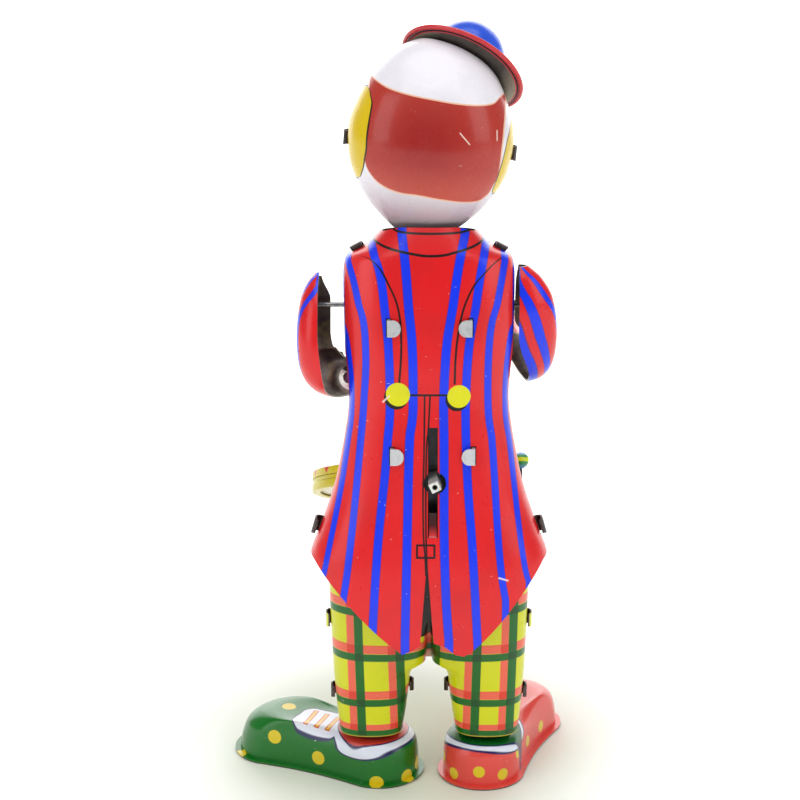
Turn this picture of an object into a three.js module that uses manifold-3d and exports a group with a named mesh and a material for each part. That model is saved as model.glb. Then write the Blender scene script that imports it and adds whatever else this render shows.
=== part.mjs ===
// Wind-up drumming figure in stamped tin. Millimetres, +Z up, the figure faces -Y.
import * as THREE from 'three';
import { mergeVertices } from 'three/addons/utils/BufferGeometryUtils.js';
import Module from 'manifold-3d';

const wasm = await Module();
wasm.setup();

// ---- driving dimensions (mm) ----
const SHIFT_X = -8.078;       // brings the middle of the whole figure over the origin
const SHIFT_Y = 29.125;
const TIN = 0.8;              // sheet thickness as modelled
const SEAM = 0.15;            // half the gap left along every front/back seam
const GAP = 0.3;              // gap left between touching pieces
const CUFF_Z = 14.0;          // lower edge of the trouser legs
const LEG_X = 15.2;           // centre of each leg
const ANKLE_Y = -4.0;         // swivel axis of each shoe
const SHOE_TURN = [-25, -112];  // where the toes point, degrees from +X: figure's left, right
const COLLAR_Z = 150.4;
const PIVOT_Z = 132.0;        // rocker pin
const HEAD_TILT = -3.0;       // rest position of the rocker and head, degrees about Y
const SHOULDER_Y = -2.5;      // arm wire axis
const SHOULDER_Z = 129.5;
const ARM_REST = [14, -14];   // rest turn of the arms about X: figure's left down, right up
const ARBOR = [-1.5, 86.8];   // winding arbor, x and z
const SECOND = [6.0, 98.384];
const CRANK = [0.0, 106.384];
const GOVERNOR = [-8.2, 110.094];
const PLATE_BACK = [6.0, 6.8];    // motor plates, y range
const PLATE_FRONT = [-10.0, -9.2];
const ROCKER_Y = [-0.1, 0.7];
const DRUM = { x: 3.8, y: -46.85, z: 68.8, tilt: 23, half: 3, radius: 30.25 };
const HAT = { x: -7.75, y: -4, z: 187.3, lean: 30, tilt: -27, brim: 16.2, crown: 9.4, height: 13.8 };
const HEAD = { x: -0.4, z: 171.0, tilt: -5.5 };

// ---- small tools ----
const rad = THREE.MathUtils.degToRad;

function curve(points) {
  const last = points.length - 1;
  const slope = (a, b) => (points[b][1] - points[a][1]) / (points[b][0] - points[a][0]);
  return (t) => {
    if (t <= points[0][0]) return points[0][1];
    if (t >= points[last][0]) return points[last][1];
    let i = 0;
    while (t > points[i + 1][0]) i += 1;
    const h = points[i + 1][0] - points[i][0];
    const s = (t - points[i][0]) / h;
    const m0 = slope(Math.max(i - 1, 0), i + 1) * h;
    const m1 = slope(i, Math.min(i + 2, last)) * h;
    const s2 = s * s;
    const s3 = s2 * s;
    return (2 * s3 - 3 * s2 + 1) * points[i][1] + (s3 - 2 * s2 + s) * m0
      + (3 * s2 - 2 * s3) * points[i + 1][1] + (s3 - s2) * m1;
  };
}

const mix = (a, b, t) => a + (b - a) * t;
const clamp = (v, a, b) => Math.min(Math.max(v, a), b);
const smooth = (a, b, v) => {
  const t = clamp((v - a) / (b - a), 0, 1);
  return t * t * (3 - 2 * t);
};

function signedVolume(positions, faces) {
  let sum = 0;
  for (let i = 0; i < faces.length; i += 3) {
    const [a, b, c] = [faces[i] * 3, faces[i + 1] * 3, faces[i + 2] * 3];
    sum += positions[a] * (positions[b + 1] * positions[c + 2] - positions[b + 2] * positions[c + 1])
      + positions[a + 1] * (positions[b + 2] * positions[c] - positions[b] * positions[c + 2])
      + positions[a + 2] * (positions[b] * positions[c + 1] - positions[b + 1] * positions[c]);
  }
  return sum / 6;
}

// welds a geometry, drops empty triangles and makes it face outwards
function solid(geometry) {
  const bare = geometry.clone();
  bare.deleteAttribute('normal');
  bare.deleteAttribute('uv');
  const welded = mergeVertices(bare, 1e-4);
  const positions = Array.from(welded.attributes.position.array);
  const source = welded.index.array;
  const faces = [];
  for (let i = 0; i < source.length; i += 3) {
    const [a, b, c] = [source[i], source[i + 1], source[i + 2]];
    if (a !== b && b !== c && c !== a) faces.push(a, b, c);
  }
  if (signedVolume(positions, faces) < 0) faces.reverse();
  return new wasm.Manifold(new wasm.Mesh({
    numProp: 3,
    vertProperties: new Float32Array(positions),
    triVerts: new Uint32Array(faces),
  }));
}

function box(x0, x1, y0, y1, z0, z1) {
  const geometry = new THREE.BoxGeometry(x1 - x0, y1 - y0, z1 - z0);
  geometry.translate((x0 + x1) / 2, (y0 + y1) / 2, (z0 + z1) / 2);
  return solid(geometry);
}

function rod(from, to, radius, sides = 12, radiusEnd = radius) {
  const a = new THREE.Vector3(...from);
  const b = new THREE.Vector3(...to);
  const length = a.distanceTo(b);
  const geometry = new THREE.CylinderGeometry(radiusEnd, radius, length, sides);
  geometry.translate(0, length / 2, 0);
  const turn = new THREE.Quaternion().setFromUnitVectors(
    new THREE.Vector3(0, 1, 0), b.clone().sub(a).normalize());
  geometry.applyQuaternion(turn);
  geometry.translate(a.x, a.y, a.z);
  return solid(geometry);
}

// profile of [radius, height] pairs turned about an upright axis
function turned(profile, sides) {
  const geometry = new THREE.LatheGeometry(profile.map(([r, h]) => new THREE.Vector2(r, h)), sides);
  geometry.rotateX(Math.PI / 2);
  return solid(geometry);
}

// the same, with the axis along Y through (x, z)
function turnedAlongY(profile, sides, x, z) {
  return turned(profile.map(([r, h]) => [r, -h]), sides).rotate([90, 0, 0]).translate([x, 0, z]);
}

// flat sheet piece drawn in X and Z, lying between two Y values
function plate(outline, holes, y0, y1) {
  const shape = new THREE.Shape(outline.map(([x, z]) => new THREE.Vector2(x, z)));
  for (const hole of holes) {
    shape.holes.push(new THREE.Path(hole.map(([x, z]) => new THREE.Vector2(x, z))));
  }
  const geometry = new THREE.ExtrudeGeometry(shape, { depth: y1 - y0, bevelEnabled: false });
  geometry.rotateX(Math.PI / 2);
  geometry.translate(0, y1, 0);
  return solid(geometry);
}

function ringPoints(x, z, radius, count) {
  const points = [];
  for (let k = 0; k < count; k += 1) {
    const a = (k / count) * 2 * Math.PI;
    points.push([x + radius * Math.cos(a), z + radius * Math.sin(a)]);
  }
  return points;
}

// closed sheet between an outer and an inner surface, with cells left out where keep says no
function sheet(nu, nv, outer, inner, keep = () => true, wrap = false) {
  const columns = wrap ? nu : nu + 1;
  const positions = [];
  for (const side of [outer, inner]) {
    for (let j = 0; j <= nv; j += 1) {
      for (let i = 0; i < columns; i += 1) positions.push(...side(i, j));
    }
  }
  const at = (k, i, j) => k * columns * (nv + 1) + j * columns + (i % columns);
  const faces = [];
  const quad = (a, b, c, d) => faces.push(a, b, c, a, c, d);
  const held = (i, j) => j >= 0 && j < nv && (wrap || (i >= 0 && i < nu))
    && keep((i + nu) % nu, j);
  for (let j = 0; j < nv; j += 1) {
    for (let i = 0; i < nu; i += 1) {
      if (!held(i, j)) continue;
      quad(at(0, i, j), at(0, i + 1, j), at(0, i + 1, j + 1), at(0, i, j + 1));
      quad(at(1, i, j), at(1, i, j + 1), at(1, i + 1, j + 1), at(1, i + 1, j));
      if (!held(i, j - 1)) quad(at(0, i, j), at(1, i, j), at(1, i + 1, j), at(0, i + 1, j));
      if (!held(i, j + 1)) {
        quad(at(0, i + 1, j + 1), at(1, i + 1, j + 1), at(1, i, j + 1), at(0, i, j + 1));
      }
      if (!held(i - 1, j)) quad(at(0, i, j + 1), at(1, i, j + 1), at(1, i, j), at(0, i, j));
      if (!held(i + 1, j)) {
        quad(at(0, i + 1, j), at(1, i + 1, j), at(1, i + 1, j + 1), at(0, i + 1, j + 1));
      }
    }
  }
  const geometry = new THREE.BufferGeometry();
  geometry.setAttribute('position', new THREE.Float32BufferAttribute(positions, 3));
  geometry.setIndex(faces);
  return solid(geometry);
}

const group = new THREE.Group();
group.name = 'drumming_monkey';

function add(name, body, color) {
  const mesh = body.translate([SHIFT_X, SHIFT_Y, 0]).getMesh();
  const geometry = new THREE.BufferGeometry();
  geometry.setAttribute('position', new THREE.Float32BufferAttribute(mesh.vertProperties, 3));
  geometry.setIndex(Array.from(mesh.triVerts));
  geometry.computeVertexNormals();
  const node = new THREE.Mesh(geometry, new THREE.MeshStandardMaterial({ color }));
  node.name = name;
  group.add(node);
}

// ---- coat ----
const coatWidth = curve([
  [40, 33], [52, 32.6], [64, 31.2], [71, 28.6], [78.8, 25.8], [85.5, 23.9], [92.8, 22.4], [99, 21.3],
  [106, 20.5], [113, 20.8], [119, 21.4], [130, 21.6], [138, 21.6], [141.5, 21.2], [143.2, 20.2],
  [144.3, 17.8], [145.4, 15.6], [147.6, 13.4], [150.4, 10.8],
]);
const coatBack = curve([
  [40, 17.4], [52, 17], [64, 16], [78.8, 14.5], [92.8, 13.5], [106, 12.9], [119, 13.1], [130, 13],
  [138, 12.4], [143, 11.4], [147, 9.8], [150.4, 8.2],
]);
const coatFront = curve([
  [56, 13], [64, 13.2], [78.8, 14], [92.8, 14.6], [106, 14.5], [119, 13.8], [130, 12.8],
  [138, 12], [143, 11.1], [147, 9.7], [150.4, 8.2],
]);
const BULGE = 2 / 2.6;        // squareness of the coat's section

function coatPoint(across, z, depth, facing, inset) {
  const angle = across * Math.PI / 2;
  const sine = Math.sin(angle);
  const cosine = Math.max(Math.cos(angle), 0);
  const x = (coatWidth(z) - inset) * Math.sign(sine) * Math.abs(sine) ** BULGE;
  const y = facing * (SEAM + (depth(z) - inset) * cosine ** BULGE);
  return [x, Math.abs(across) > 0.999 ? facing * SEAM : y, z];
}

// how far the coat's surface stands behind the seam at a given place
function coatDepthAt(x, z, depth) {
  return SEAM + depth(z) * (1 - (Math.abs(x) / coatWidth(z)) ** 2.6) ** (1 / 2.6);
}

const COAT_ROWS = [0, 0.022, 0.045, 0.066, 0.1, 0.2, 0.33, 0.46, 0.58, 0.7, 0.82, 0.92, 1];
const COAT_ACROSS = [-1, -0.84, -0.64, -0.42, -0.24, -0.1, -0.035, 0.035, 0.1, 0.24, 0.42, 0.64, 0.84, 1];
const tailHemLeft = curve([[0, 45.6], [2.6, 45.2], [6.4, 41.8], [31, 64], [33, 65]]);
const tailHemRight = curve([[0, 45.6], [2.6, 45.2], [9.6, 41.8], [31, 64], [33, 65]]);
const tailHem = (x) => (x > 0 ? tailHemLeft(x) : tailHemRight(-x));
const frontHemHalf = curve([[0, 58], [12, 59], [24, 62], [33, 64.6]]);
const frontHem = (x) => frontHemHalf(Math.abs(x));

function coatShell(depth, facing, hem) {
  const bottom = (across) => {
    const sine = Math.sin(across * Math.PI / 2);
    return hem(33 * Math.sign(sine) * Math.abs(sine) ** BULGE);
  };
  const top = (across) => mix(COLLAR_Z, 149.0, smooth(0.3, 0.9, Math.abs(across)));
  const place = (inset) => (i, j) => {
    const across = COAT_ACROSS[i];
    return coatPoint(across, mix(top(across), bottom(across), COAT_ROWS[j]), depth, facing, inset);
  };
  return sheet(COAT_ACROSS.length - 1, COAT_ROWS.length - 1, place(0), place(TIN));
}

// folded seam tab: grows out of the front shell and laps over the back one
function seamTab(side, edgeX, z, height, reach = 2.4, slope = 0) {
  const lap = box(GAP, GAP + 0.6, -1.6, reach, -height / 2, height / 2);
  const root = box(-0.6, GAP + 0.6, -1.6, -0.45, -height / 2, height / 2);
  const tab = lap.add(root).rotate([0, -slope, 0]).translate([edgeX, 0, z]);
  return side > 0 ? tab : tab.mirror([1, 0, 0]);
}

const WINGS = [[9.9, 126.2], [-10.3, 126.2], [9.3, 93.6], [-11.2, 93.6]];
const WING_HALF = 2.1;

let coatBackShell = coatShell(coatBack, 1, tailHem);
for (const [x, z] of WINGS) {
  coatBackShell = coatBackShell.subtract(
    box(x - 0.7, x + 0.7, 4, 20, z - WING_HALF - GAP, z + WING_HALF + GAP));
}
const KEY_SLOT = { left: -2.25, right: 0.25, top: 101, bottom: 72.8 };
coatBackShell = coatBackShell
  .subtract(box(KEY_SLOT.left, KEY_SLOT.right, 4, 22, KEY_SLOT.bottom, KEY_SLOT.top))
  .subtract(rod([ARBOR[0], 4, ARBOR[1]], [ARBOR[0], 22, ARBOR[1]], 2.85, 24));
const flap = plate([[0, 0], [0.8, 0], [0.8, 6.1], [0, 6.1]], [], 0, 2.1)
  .rotate([0, 0, 90]).rotate([28, 0, 0])
  .translate([KEY_SLOT.right - 0.2, coatDepthAt(0, 72.8, coatBack) - 0.78, 72.3]);
coatBackShell = coatBackShell.add(flap);
const ventOutline = [[-2.9, 36], [3.5, 36], [0.75, 63.6], [0.5, 64.3], [0.15, 63.6]];
coatBackShell = coatBackShell.subtract(plate(ventOutline, [], 4, 24));
add('coat_back_shell', coatBackShell, 0xdb232a);

let coatFrontShell = coatShell(coatFront, -1, frontHem);
for (const side of [1, -1]) {
  coatFrontShell = coatFrontShell
    .subtract(rod([side * 12, SHOULDER_Y, SHOULDER_Z], [side * 30, SHOULDER_Y, SHOULDER_Z], 1.3, 12))
    .add(seamTab(side, 18.0, 144.35, 3.4, 2.2, 62))
    .add(seamTab(side, coatWidth(71.5) + 0.9, 71.5, 4.4));
}
coatFrontShell = coatFrontShell.subtract(rod([0, -20, 61.1], [0, -6, 61.1], 1.3, 12));
add('coat_front_shell', coatFrontShell, 0xdb232a);

// ---- trousers: two legs joined at the hip, one shell behind and one in front ----
const LEG_ROWS = [CUFF_Z, 19, 25, 29, 31.8, 33.4, 34.4, 40, 49, 58.5, 68];
const CROTCH_ROW = 6;
const legInner = curve([[14, 7.2], [20, 6.2], [27, 5.3], [30.5, 4.9], [32.8, 3.6], [34.4, 0.8], [68, 0.8]]);
const legOuter = curve([
  [14, 24.0], [20, 24.6], [30, 25.4], [39, 25.8], [50, 26.2], [60, 26.4], [68, 26.2],
]);
const legBack = curve([[14, 6.2], [25, 7.6], [40, 10], [55, 12], [68, 12.8]]);
const legFront = curve([[14, 11.6], [25, 11.6], [40, 11.4], [55, 11.2], [68, 11]]);
const LEG_ACROSS = [-1, -0.76, -0.46, -0.15, 0.15, 0.46, 0.76, 1];

function trouserShell(depth, facing) {
  const half = LEG_ACROSS.length;
  const place = (inset) => (i, j) => {
    const side = i < half ? -1 : 1;
    const across = side < 0 ? -LEG_ACROSS[i] : LEG_ACROSS[i - half];
    const z = LEG_ROWS[j];
    const hip = smooth(34.4, 52, z);
    const spread = inset * (1 - smooth(31, 35, z));
    const inside = legInner(z) + (across < 0 ? spread : 0);
    const outside = legOuter(z) - inset;
    const sine = Math.sin(across * Math.PI / 2);
    const share = (Math.sign(sine) * Math.abs(sine) ** 0.8 + 1) / 2;
    const x = mix(inside, outside, share);
    const legY = Math.max(Math.cos(across * Math.PI / 2), 0) ** 0.8;
    const hipY = (1 - clamp(x / outside, 0, 1) ** 2.4) ** (1 / 2.4);
    const deep = depth(z) - inset;
    return [side * x, facing * (SEAM + deep * mix(legY, hipY, hip)), z];
  };
  const bridge = half - 1;
  return sheet(2 * half - 1, LEG_ROWS.length - 1, place(0), place(TIN),
    (i, j) => i !== bridge || j >= CROTCH_ROW);
}

add('trousers_back_shell', trouserShell(legBack, 1), 0xc8b413);
let trousersFront = trouserShell(legFront, -1);
for (const side of [1, -1]) {
  trousersFront = trousersFront
    .add(seamTab(side, legOuter(45.5), 45.5, 4.2))
    .add(seamTab(side, legOuter(25), 25, 3.6, 2.0));
}
add('trousers_front_shell', trousersFront, 0xc8b413);

// ---- head: two halves on the rocker's stem ----
const headWidth = curve([
  [-21, 8.9], [-18, 12.0], [-14, 15.5], [-8, 18.9], [-2, 20.3], [3, 20.4], [8, 19.1],
  [13, 17.0], [18, 13.9], [22, 9.6], [24.4, 4.6], [25.2, 0],
]);
const headDeep = curve([
  [-21, 6.0], [-18, 8.4], [-14, 11.6], [-8, 15.2], [-2, 17], [3, 17.2], [8, 16.6],
  [13, 15], [18, 12], [22, 8.2], [24.4, 4.0], [25.2, 0],
]);
const HEAD_ROWS = [-20.7, -17.8, -13.4, -8, -2, 4, 9.5, 14.5, 19, 23, 25.2];
const HEAD_ACROSS = [-1, -0.86, -0.68, -0.5, -0.32, -0.13, 0.13, 0.32, 0.5, 0.68, 0.86, 1];

// raised muzzle and brow of the face
function faceRelief(x, z) {
  const muzzle = 5.2 * Math.exp(-((x / 9.5) ** 2) - ((z + 8.5) / 6.5) ** 2);
  const brow = 1.3 * Math.exp(-((x / 11) ** 2) - ((z - 8) / 2.8) ** 2);
  return muzzle + brow;
}

function headShell(facing) {
  const place = (inset) => (i, j) => {
    const across = HEAD_ACROSS[i];
    const z = HEAD_ROWS[j] + (j === 0 ? 1.4 * smooth(0.45, 1, Math.abs(across)) : 0);
    const sine = Math.sin(across * Math.PI / 2);
    const wide = Math.max(headWidth(z) - inset, 0);
    const x = wide * Math.sign(sine) * Math.abs(sine) ** 0.86;
    const cosine = Math.abs(across) > 0.999 ? 0 : Math.cos(across * Math.PI / 2);
    const deep = Math.max(headDeep(z) - inset, 0) * cosine ** 0.86;
    const relief = facing < 0 ? faceRelief(x, z) * smooth(0, 0.4, cosine) : 0;
    const drop = j === HEAD_ROWS.length - 1 ? inset : 0;
    return [x, facing * (SEAM + deep + relief), z - drop];
  };
  return sheet(HEAD_ACROSS.length - 1, HEAD_ROWS.length - 1, place(0), place(TIN));
}

const setHead = (body) => body.rotate([0, HEAD.tilt, 0]).translate([HEAD.x, 0, HEAD.z]);
const setHat = (body) => body.rotate([HAT.lean, HAT.tilt, 0]).translate([HAT.x, HAT.y, HAT.z]);
const underHat = setHat(box(-40, 40, -40, 40, -GAP, 40));

add('head_back_shell', setHead(headShell(1)).subtract(underHat), 0xf4f4f4);
let headFrontShell = headShell(-1);
for (const side of [1, -1]) headFrontShell = headFrontShell.add(seamTab(side, headWidth(-1), -1, 3.8));
add('head_front_shell', setHead(headFrontShell).subtract(underHat), 0xf4f4f4);

const hatProfile = [];
for (let k = 0; k <= 5; k += 1) {
  const a = rad(90 - (90 * k) / 5);
  hatProfile.push([HAT.crown * Math.cos(a), HAT.height - HAT.crown + HAT.crown * Math.sin(a)]);
}
hatProfile[0][0] = 0;
hatProfile.push([HAT.crown + 0.1, 1.3], [HAT.crown + 0.7, 0.85], [13, 0.9]);
hatProfile.push([HAT.brim - 1.1, 1.45], [HAT.brim - 0.7, 1.95], [HAT.brim - 0.1, 1.9], [HAT.brim + 0.1, 1.35]);
hatProfile.push([HAT.brim - 0.1, 0.75], [HAT.brim - 0.9, 0.55], [13, 0.1], [HAT.crown, 0]);
for (let k = 4; k >= 0; k -= 1) {
  const a = rad(90 - (90 * k) / 4);
  const r = HAT.crown - TIN;
  hatProfile.push([r * Math.cos(a), HAT.height - HAT.crown + r * Math.sin(a)]);
}
hatProfile[hatProfile.length - 1][0] = 0;
add('hat_shell', setHat(turned(hatProfile, 24)), 0x1450c8);

// ---- rocker: a flat lever swinging on its pin, carrying the head on its stem ----
const setRocker = (body) => body.translate([0, 0, -PIVOT_Z]).rotate([0, HEAD_TILT, 0])
  .translate([0, 0, PIVOT_Z]);
const EAR_Z = SHOULDER_Z;
const rockerOutline = [
  [-3, 168], [-3, 154], [-2.6, 150], [-2.6, 139], [-5, 136.5], [-11.6, 132.6], [-14.2, 132.6],
  [-14.2, EAR_Z + 1.4], [-11.4, EAR_Z + 1.4], [-11.4, EAR_Z - 1.4], [-14.2, EAR_Z - 1.4],
  [-14.2, EAR_Z - 2.4], [-9.6, EAR_Z - 2.4], [-3.2, 124], [-2.6, 112.6], [-1.6, 111.4],
  [1.6, 111.4], [2.6, 112.6], [3.2, 124], [9.6, EAR_Z - 2.4], [14.2, EAR_Z - 2.4],
  [14.2, EAR_Z - 1.4], [11.4, EAR_Z - 1.4], [11.4, EAR_Z + 1.4], [14.2, EAR_Z + 1.4],
  [14.2, 132.6], [11.6, 132.6], [5, 136.5], [2.6, 139], [2.6, 150], [3, 154], [3, 168],
];
const rocker = plate(rockerOutline, [ringPoints(0, PIVOT_Z, 1.3, 12)], ROCKER_Y[0], ROCKER_Y[1]);
add('rocker', setRocker(rocker), 0xb9bcc0);
add('rocker_pin', turnedAlongY([
  [0, -11.4], [1.9, -11.4], [1.9, -10.3], [1, -10.3], [1, 7.1], [1.9, 7.1], [1.9, 8.2], [0, 8.2],
], 12, 0, PIVOT_Z), 0x9a9ea3);

// ---- motor plates, pillars ----
const PILLARS = [[10.6, 72.5], [-12.2, 72.5], [11.0, 116], [-11.6, 116.3]];
const plateOutline = [
  [-9, 69.5], [9, 69.5], [13.2, 71], [13.2, 76], [11.6, 80], [11.6, 112], [13.2, 114], [13.2, 119],
  [11.2, 123], [11.2, 128.7], [6, 128.7], [4, 135.5], [-4, 135.5], [-6, 128.7], [-11.2, 128.7],
  [-11.2, 124], [-14.2, 121], [-14.2, 116], [-13.2, 112], [-13.2, 80], [-14.4, 76], [-14.4, 71],
];
const arborHoles = [[ARBOR, 1.5], [SECOND, 1.1], [GOVERNOR, 1.0], [[0, PIVOT_Z], 1.3]];
const pillarHoles = PILLARS.map((place) => [place, 1.2]);
const holes = (list) => list.map(([[x, z], r]) => ringPoints(x, z, r, 10));
let backPlate = plate(plateOutline, holes([...arborHoles, ...pillarHoles]), ...PLATE_BACK);
for (const [x, z] of WINGS) {
  const inward = -Math.sign(x);
  const ground = GAP + 0.05
    + Math.max(...[-2, 0, 2].map((rise) => coatDepthAt(x + inward * 3.4, z + rise, coatBack)));
  const wing = [[0, WING_HALF], [0, -WING_HALF]];
  for (let k = 0; k <= 10; k += 1) {
    const a = rad(-90 + 18 * k);
    wing.push([inward * (1.5 + 1.9 * Math.cos(a)), WING_HALF * Math.sin(a)]);
  }
  const tab = plate(wing, [], ground, ground + 0.6).translate([x - inward * 0.4, 0, z]);
  const post = box(x - 0.4, x + 0.4, PLATE_BACK[0] + 0.1, ground + 0.6, z - WING_HALF, z + WING_HALF);
  backPlate = backPlate.add(post).add(tab);
}
add('motor_back_plate', backPlate, 0xa9adb0);
const crankHole = [[CRANK, 1.3]];
add('motor_front_plate',
  plate(plateOutline, holes([...arborHoles, ...pillarHoles, ...crankHole]), ...PLATE_FRONT), 0xa9adb0);
PILLARS.forEach(([x, z], k) => {
  add(`motor_pillar_${k + 1}`, turnedAlongY([
    [0, -11.0], [1.6, -11.0], [1.6, -10.3], [0.9, -10.3], [0.9, -8.9], [1.7, -8.9],
    [1.7, 5.7], [0.9, 5.7], [0.9, 7.1], [1.6, 7.1], [1.6, 8.0], [0, 8.0],
  ], 10, x, z), 0xb9bcc0);
});

// ---- gear train ----
function gearOutline(teeth, module, phase) {
  const pitch = (teeth * module) / 2;
  const step = (2 * Math.PI) / teeth;
  const tip = pitch + 0.85 * module;
  const root = pitch - 1.15 * module;
  const points = [];
  for (let k = 0; k < teeth; k += 1) {
    const mid = phase + k * step;
    const flank = [[root, -0.3], [tip, -0.08], [tip, 0.08], [root, 0.3]];
    for (const [r, share] of flank) {
      points.push([r * Math.cos(mid + share * step), r * Math.sin(mid + share * step)]);
    }
  }
  return points;
}

function gear([x, z], teeth, module, phase, bore, y0, y1) {
  const outline = gearOutline(teeth, module, phase).map(([a, b]) => [a + x, b + z]);
  const hole = bore > 0 ? [ringPoints(x, z, bore, 12)] : [];
  return plate(outline, hole, y0, y1);
}

// phase that sets the follower's gap over the leader's tooth
function meshPhase(leader, leaderTeeth, leaderPhase, follower, followerTeeth) {
  const heading = Math.atan2(follower[1] - leader[1], follower[0] - leader[0]);
  const share = ((heading - leaderPhase) * leaderTeeth) / (2 * Math.PI);
  return heading + Math.PI - ((0.5 - share) * 2 * Math.PI) / followerTeeth;
}

const GREAT_TEETH = 36;
const SECOND_PINION = 10;
const SECOND_TEETH = 30;
const CRANK_PINION = 10;
const CRANK_TEETH = 28;
const GOVERNOR_PINION = 8;
const greatPhase = 0.05;
const secondPhase = meshPhase(ARBOR, GREAT_TEETH, greatPhase, SECOND, SECOND_PINION);
const crankPhase = meshPhase(SECOND, SECOND_TEETH, 0.1, CRANK, CRANK_PINION);
const governorPhase = meshPhase(CRANK, CRANK_TEETH, 0.0, GOVERNOR, GOVERNOR_PINION);

add('great_wheel', gear(ARBOR, GREAT_TEETH, 0.6, greatPhase, 1.6, -8.4, -7.4), 0xc7a24a);
// the click is cut free at its root by a spring slit, so it stands on its own stud
add('click', plate([
  [5.6, 83.6], [7.2, 82.9], [8.0, 84.4], [7.4, 85.6], [4.4, 87.3], [3.95, 86.6], [5.2, 85.2],
], [], -7.1, -6.3), 0x8f9397);
const ratchetOutline = [];
for (let k = 0; k < 12; k += 1) {
  const a = (k / 12) * 2 * Math.PI + 0.1;
  ratchetOutline.push([ARBOR[0] + 4.6 * Math.cos(a), ARBOR[1] + 4.6 * Math.sin(a)]);
  ratchetOutline.push([ARBOR[0] + 3.7 * Math.cos(a + 0.08), ARBOR[1] + 3.7 * Math.sin(a + 0.08)]);
}
add('ratchet_wheel', plate(ratchetOutline, [ringPoints(...ARBOR, 1.5, 12)], -7.1, -6.3), 0x8f9397);
const squareEnd = box(-1.25, 1.25, 7.4, 17.6, -1.25, 1.25).rotate([0, 26, 0])
  .subtract(rod([0, 15.6, 0], [0, 19, 0], 0.35, 8)).translate([ARBOR[0], 0, ARBOR[1]]);
add('winding_arbor', turnedAlongY([
  [0, -11], [1.2, -11], [1.2, -5.6], [2.2, -5.6], [2.2, 5.2], [1.2, 5.2], [1.2, 7.6], [0, 7.6],
], 12, ...ARBOR).add(squareEnd), 0xc9ccd0);

const SPRING_CELLS = 48;
const SPRING_TURNS = 4.2;
function springPoint(shift) {
  return (i, j) => {
    const a = (i / SPRING_CELLS) * SPRING_TURNS * 2 * Math.PI;
    const r = mix(2.9, 9.6, i / SPRING_CELLS) + shift;
    return [ARBOR[0] + r * Math.cos(a), mix(-4.6, 4.2, j), ARBOR[1] + r * Math.sin(a)];
  };
}
add('mainspring', sheet(SPRING_CELLS, 1, springPoint(0.25), springPoint(-0.25)), 0x6f7f95);

function shaft([x, z], radius, y0, y1) {
  return turnedAlongY([[0, y0], [radius, y0], [radius, y1], [0, y1]], 10, x, z);
}
add('second_pinion', gear(SECOND, SECOND_PINION, 0.6, secondPhase, 0, -8.8, -7.0)
  .add(shaft(SECOND, 0.8, -10.6, 7.4)), 0xb9bcc0);
add('second_wheel', gear(SECOND, SECOND_TEETH, 0.5, 0.1, 1.1, -6.0, -5.2), 0xc7a24a);
add('crank_pinion', gear(CRANK, CRANK_PINION, 0.5, crankPhase, 0, -6.8, -5.2)
  .add(shaft(CRANK, 1.0, -10.6, -3.2)), 0xb9bcc0);
const crankWheel = gear(CRANK, CRANK_TEETH, 0.5, 0.0, 1.3, -4.9, -4.1)
  .add(rod([CRANK[0], -4.5, CRANK[1] + 3.6], [CRANK[0], -0.6, CRANK[1] + 3.6], 0.7, 10));
add('crank_wheel', crankWheel, 0xc7a24a);
add('governor_pinion', gear(GOVERNOR, GOVERNOR_PINION, 0.5, governorPhase, 0, -5.3, -3.7)
  .add(shaft(GOVERNOR, 0.7, -10.6, 7.4)), 0xb9bcc0);
const lobe = [];
for (let k = 0; k < 20; k += 1) {
  const a = (k / 20) * 2 * Math.PI;
  const r = 2.2 + 1.9 * Math.cos(a) ** 2;
  lobe.push([GOVERNOR[0] + r * Math.cos(a), GOVERNOR[1] + r * Math.sin(a)]);
}
add('governor_weight', plate(lobe, [ringPoints(...GOVERNOR, 1.0, 12)], -2.4, 0.2), 0xc7a24a);

// ---- arms: trough sleeve, fist, stick with bead, cranked wire ----
// edge, elbow: how near the trough's back wall comes to the middle at the shoulder and the elbow;
// deep, elbowDeep: its depth there beside the usual one; lip: how much nearer the front wall comes;
// anchor: where the arm wire turns down inside
const ARMS = {
  left: { edge: 27.9, elbow: 27.0, deep: 0.7, elbowDeep: 0.8, lip: 2.6, top: 137.2, anchor: 30.7 },
  right: { edge: 22.7, elbow: 26.1, deep: 1.24, elbowDeep: 0.84, lip: 0.5, top: 140.4, anchor: 28.4 },
};
const WRIST_EDGE = 20.8;
const armHalf = curve([[0, 1.6], [0.05, 3.6], [0.15, 5.6], [0.3, 6.2], [0.5, 6.2], [0.75, 5.0], [1, 4.0]]);
const armDepth = curve([[0, 1.8], [0.05, 4.4], [0.15, 7.0], [0.35, 8.2], [0.6, 7.6], [1, 5.6]]);
const ARM_STATIONS = 13;
const ARM_RING = [-118, -90, -62, -34, -10, 14, 38, 64, 90];

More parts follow.
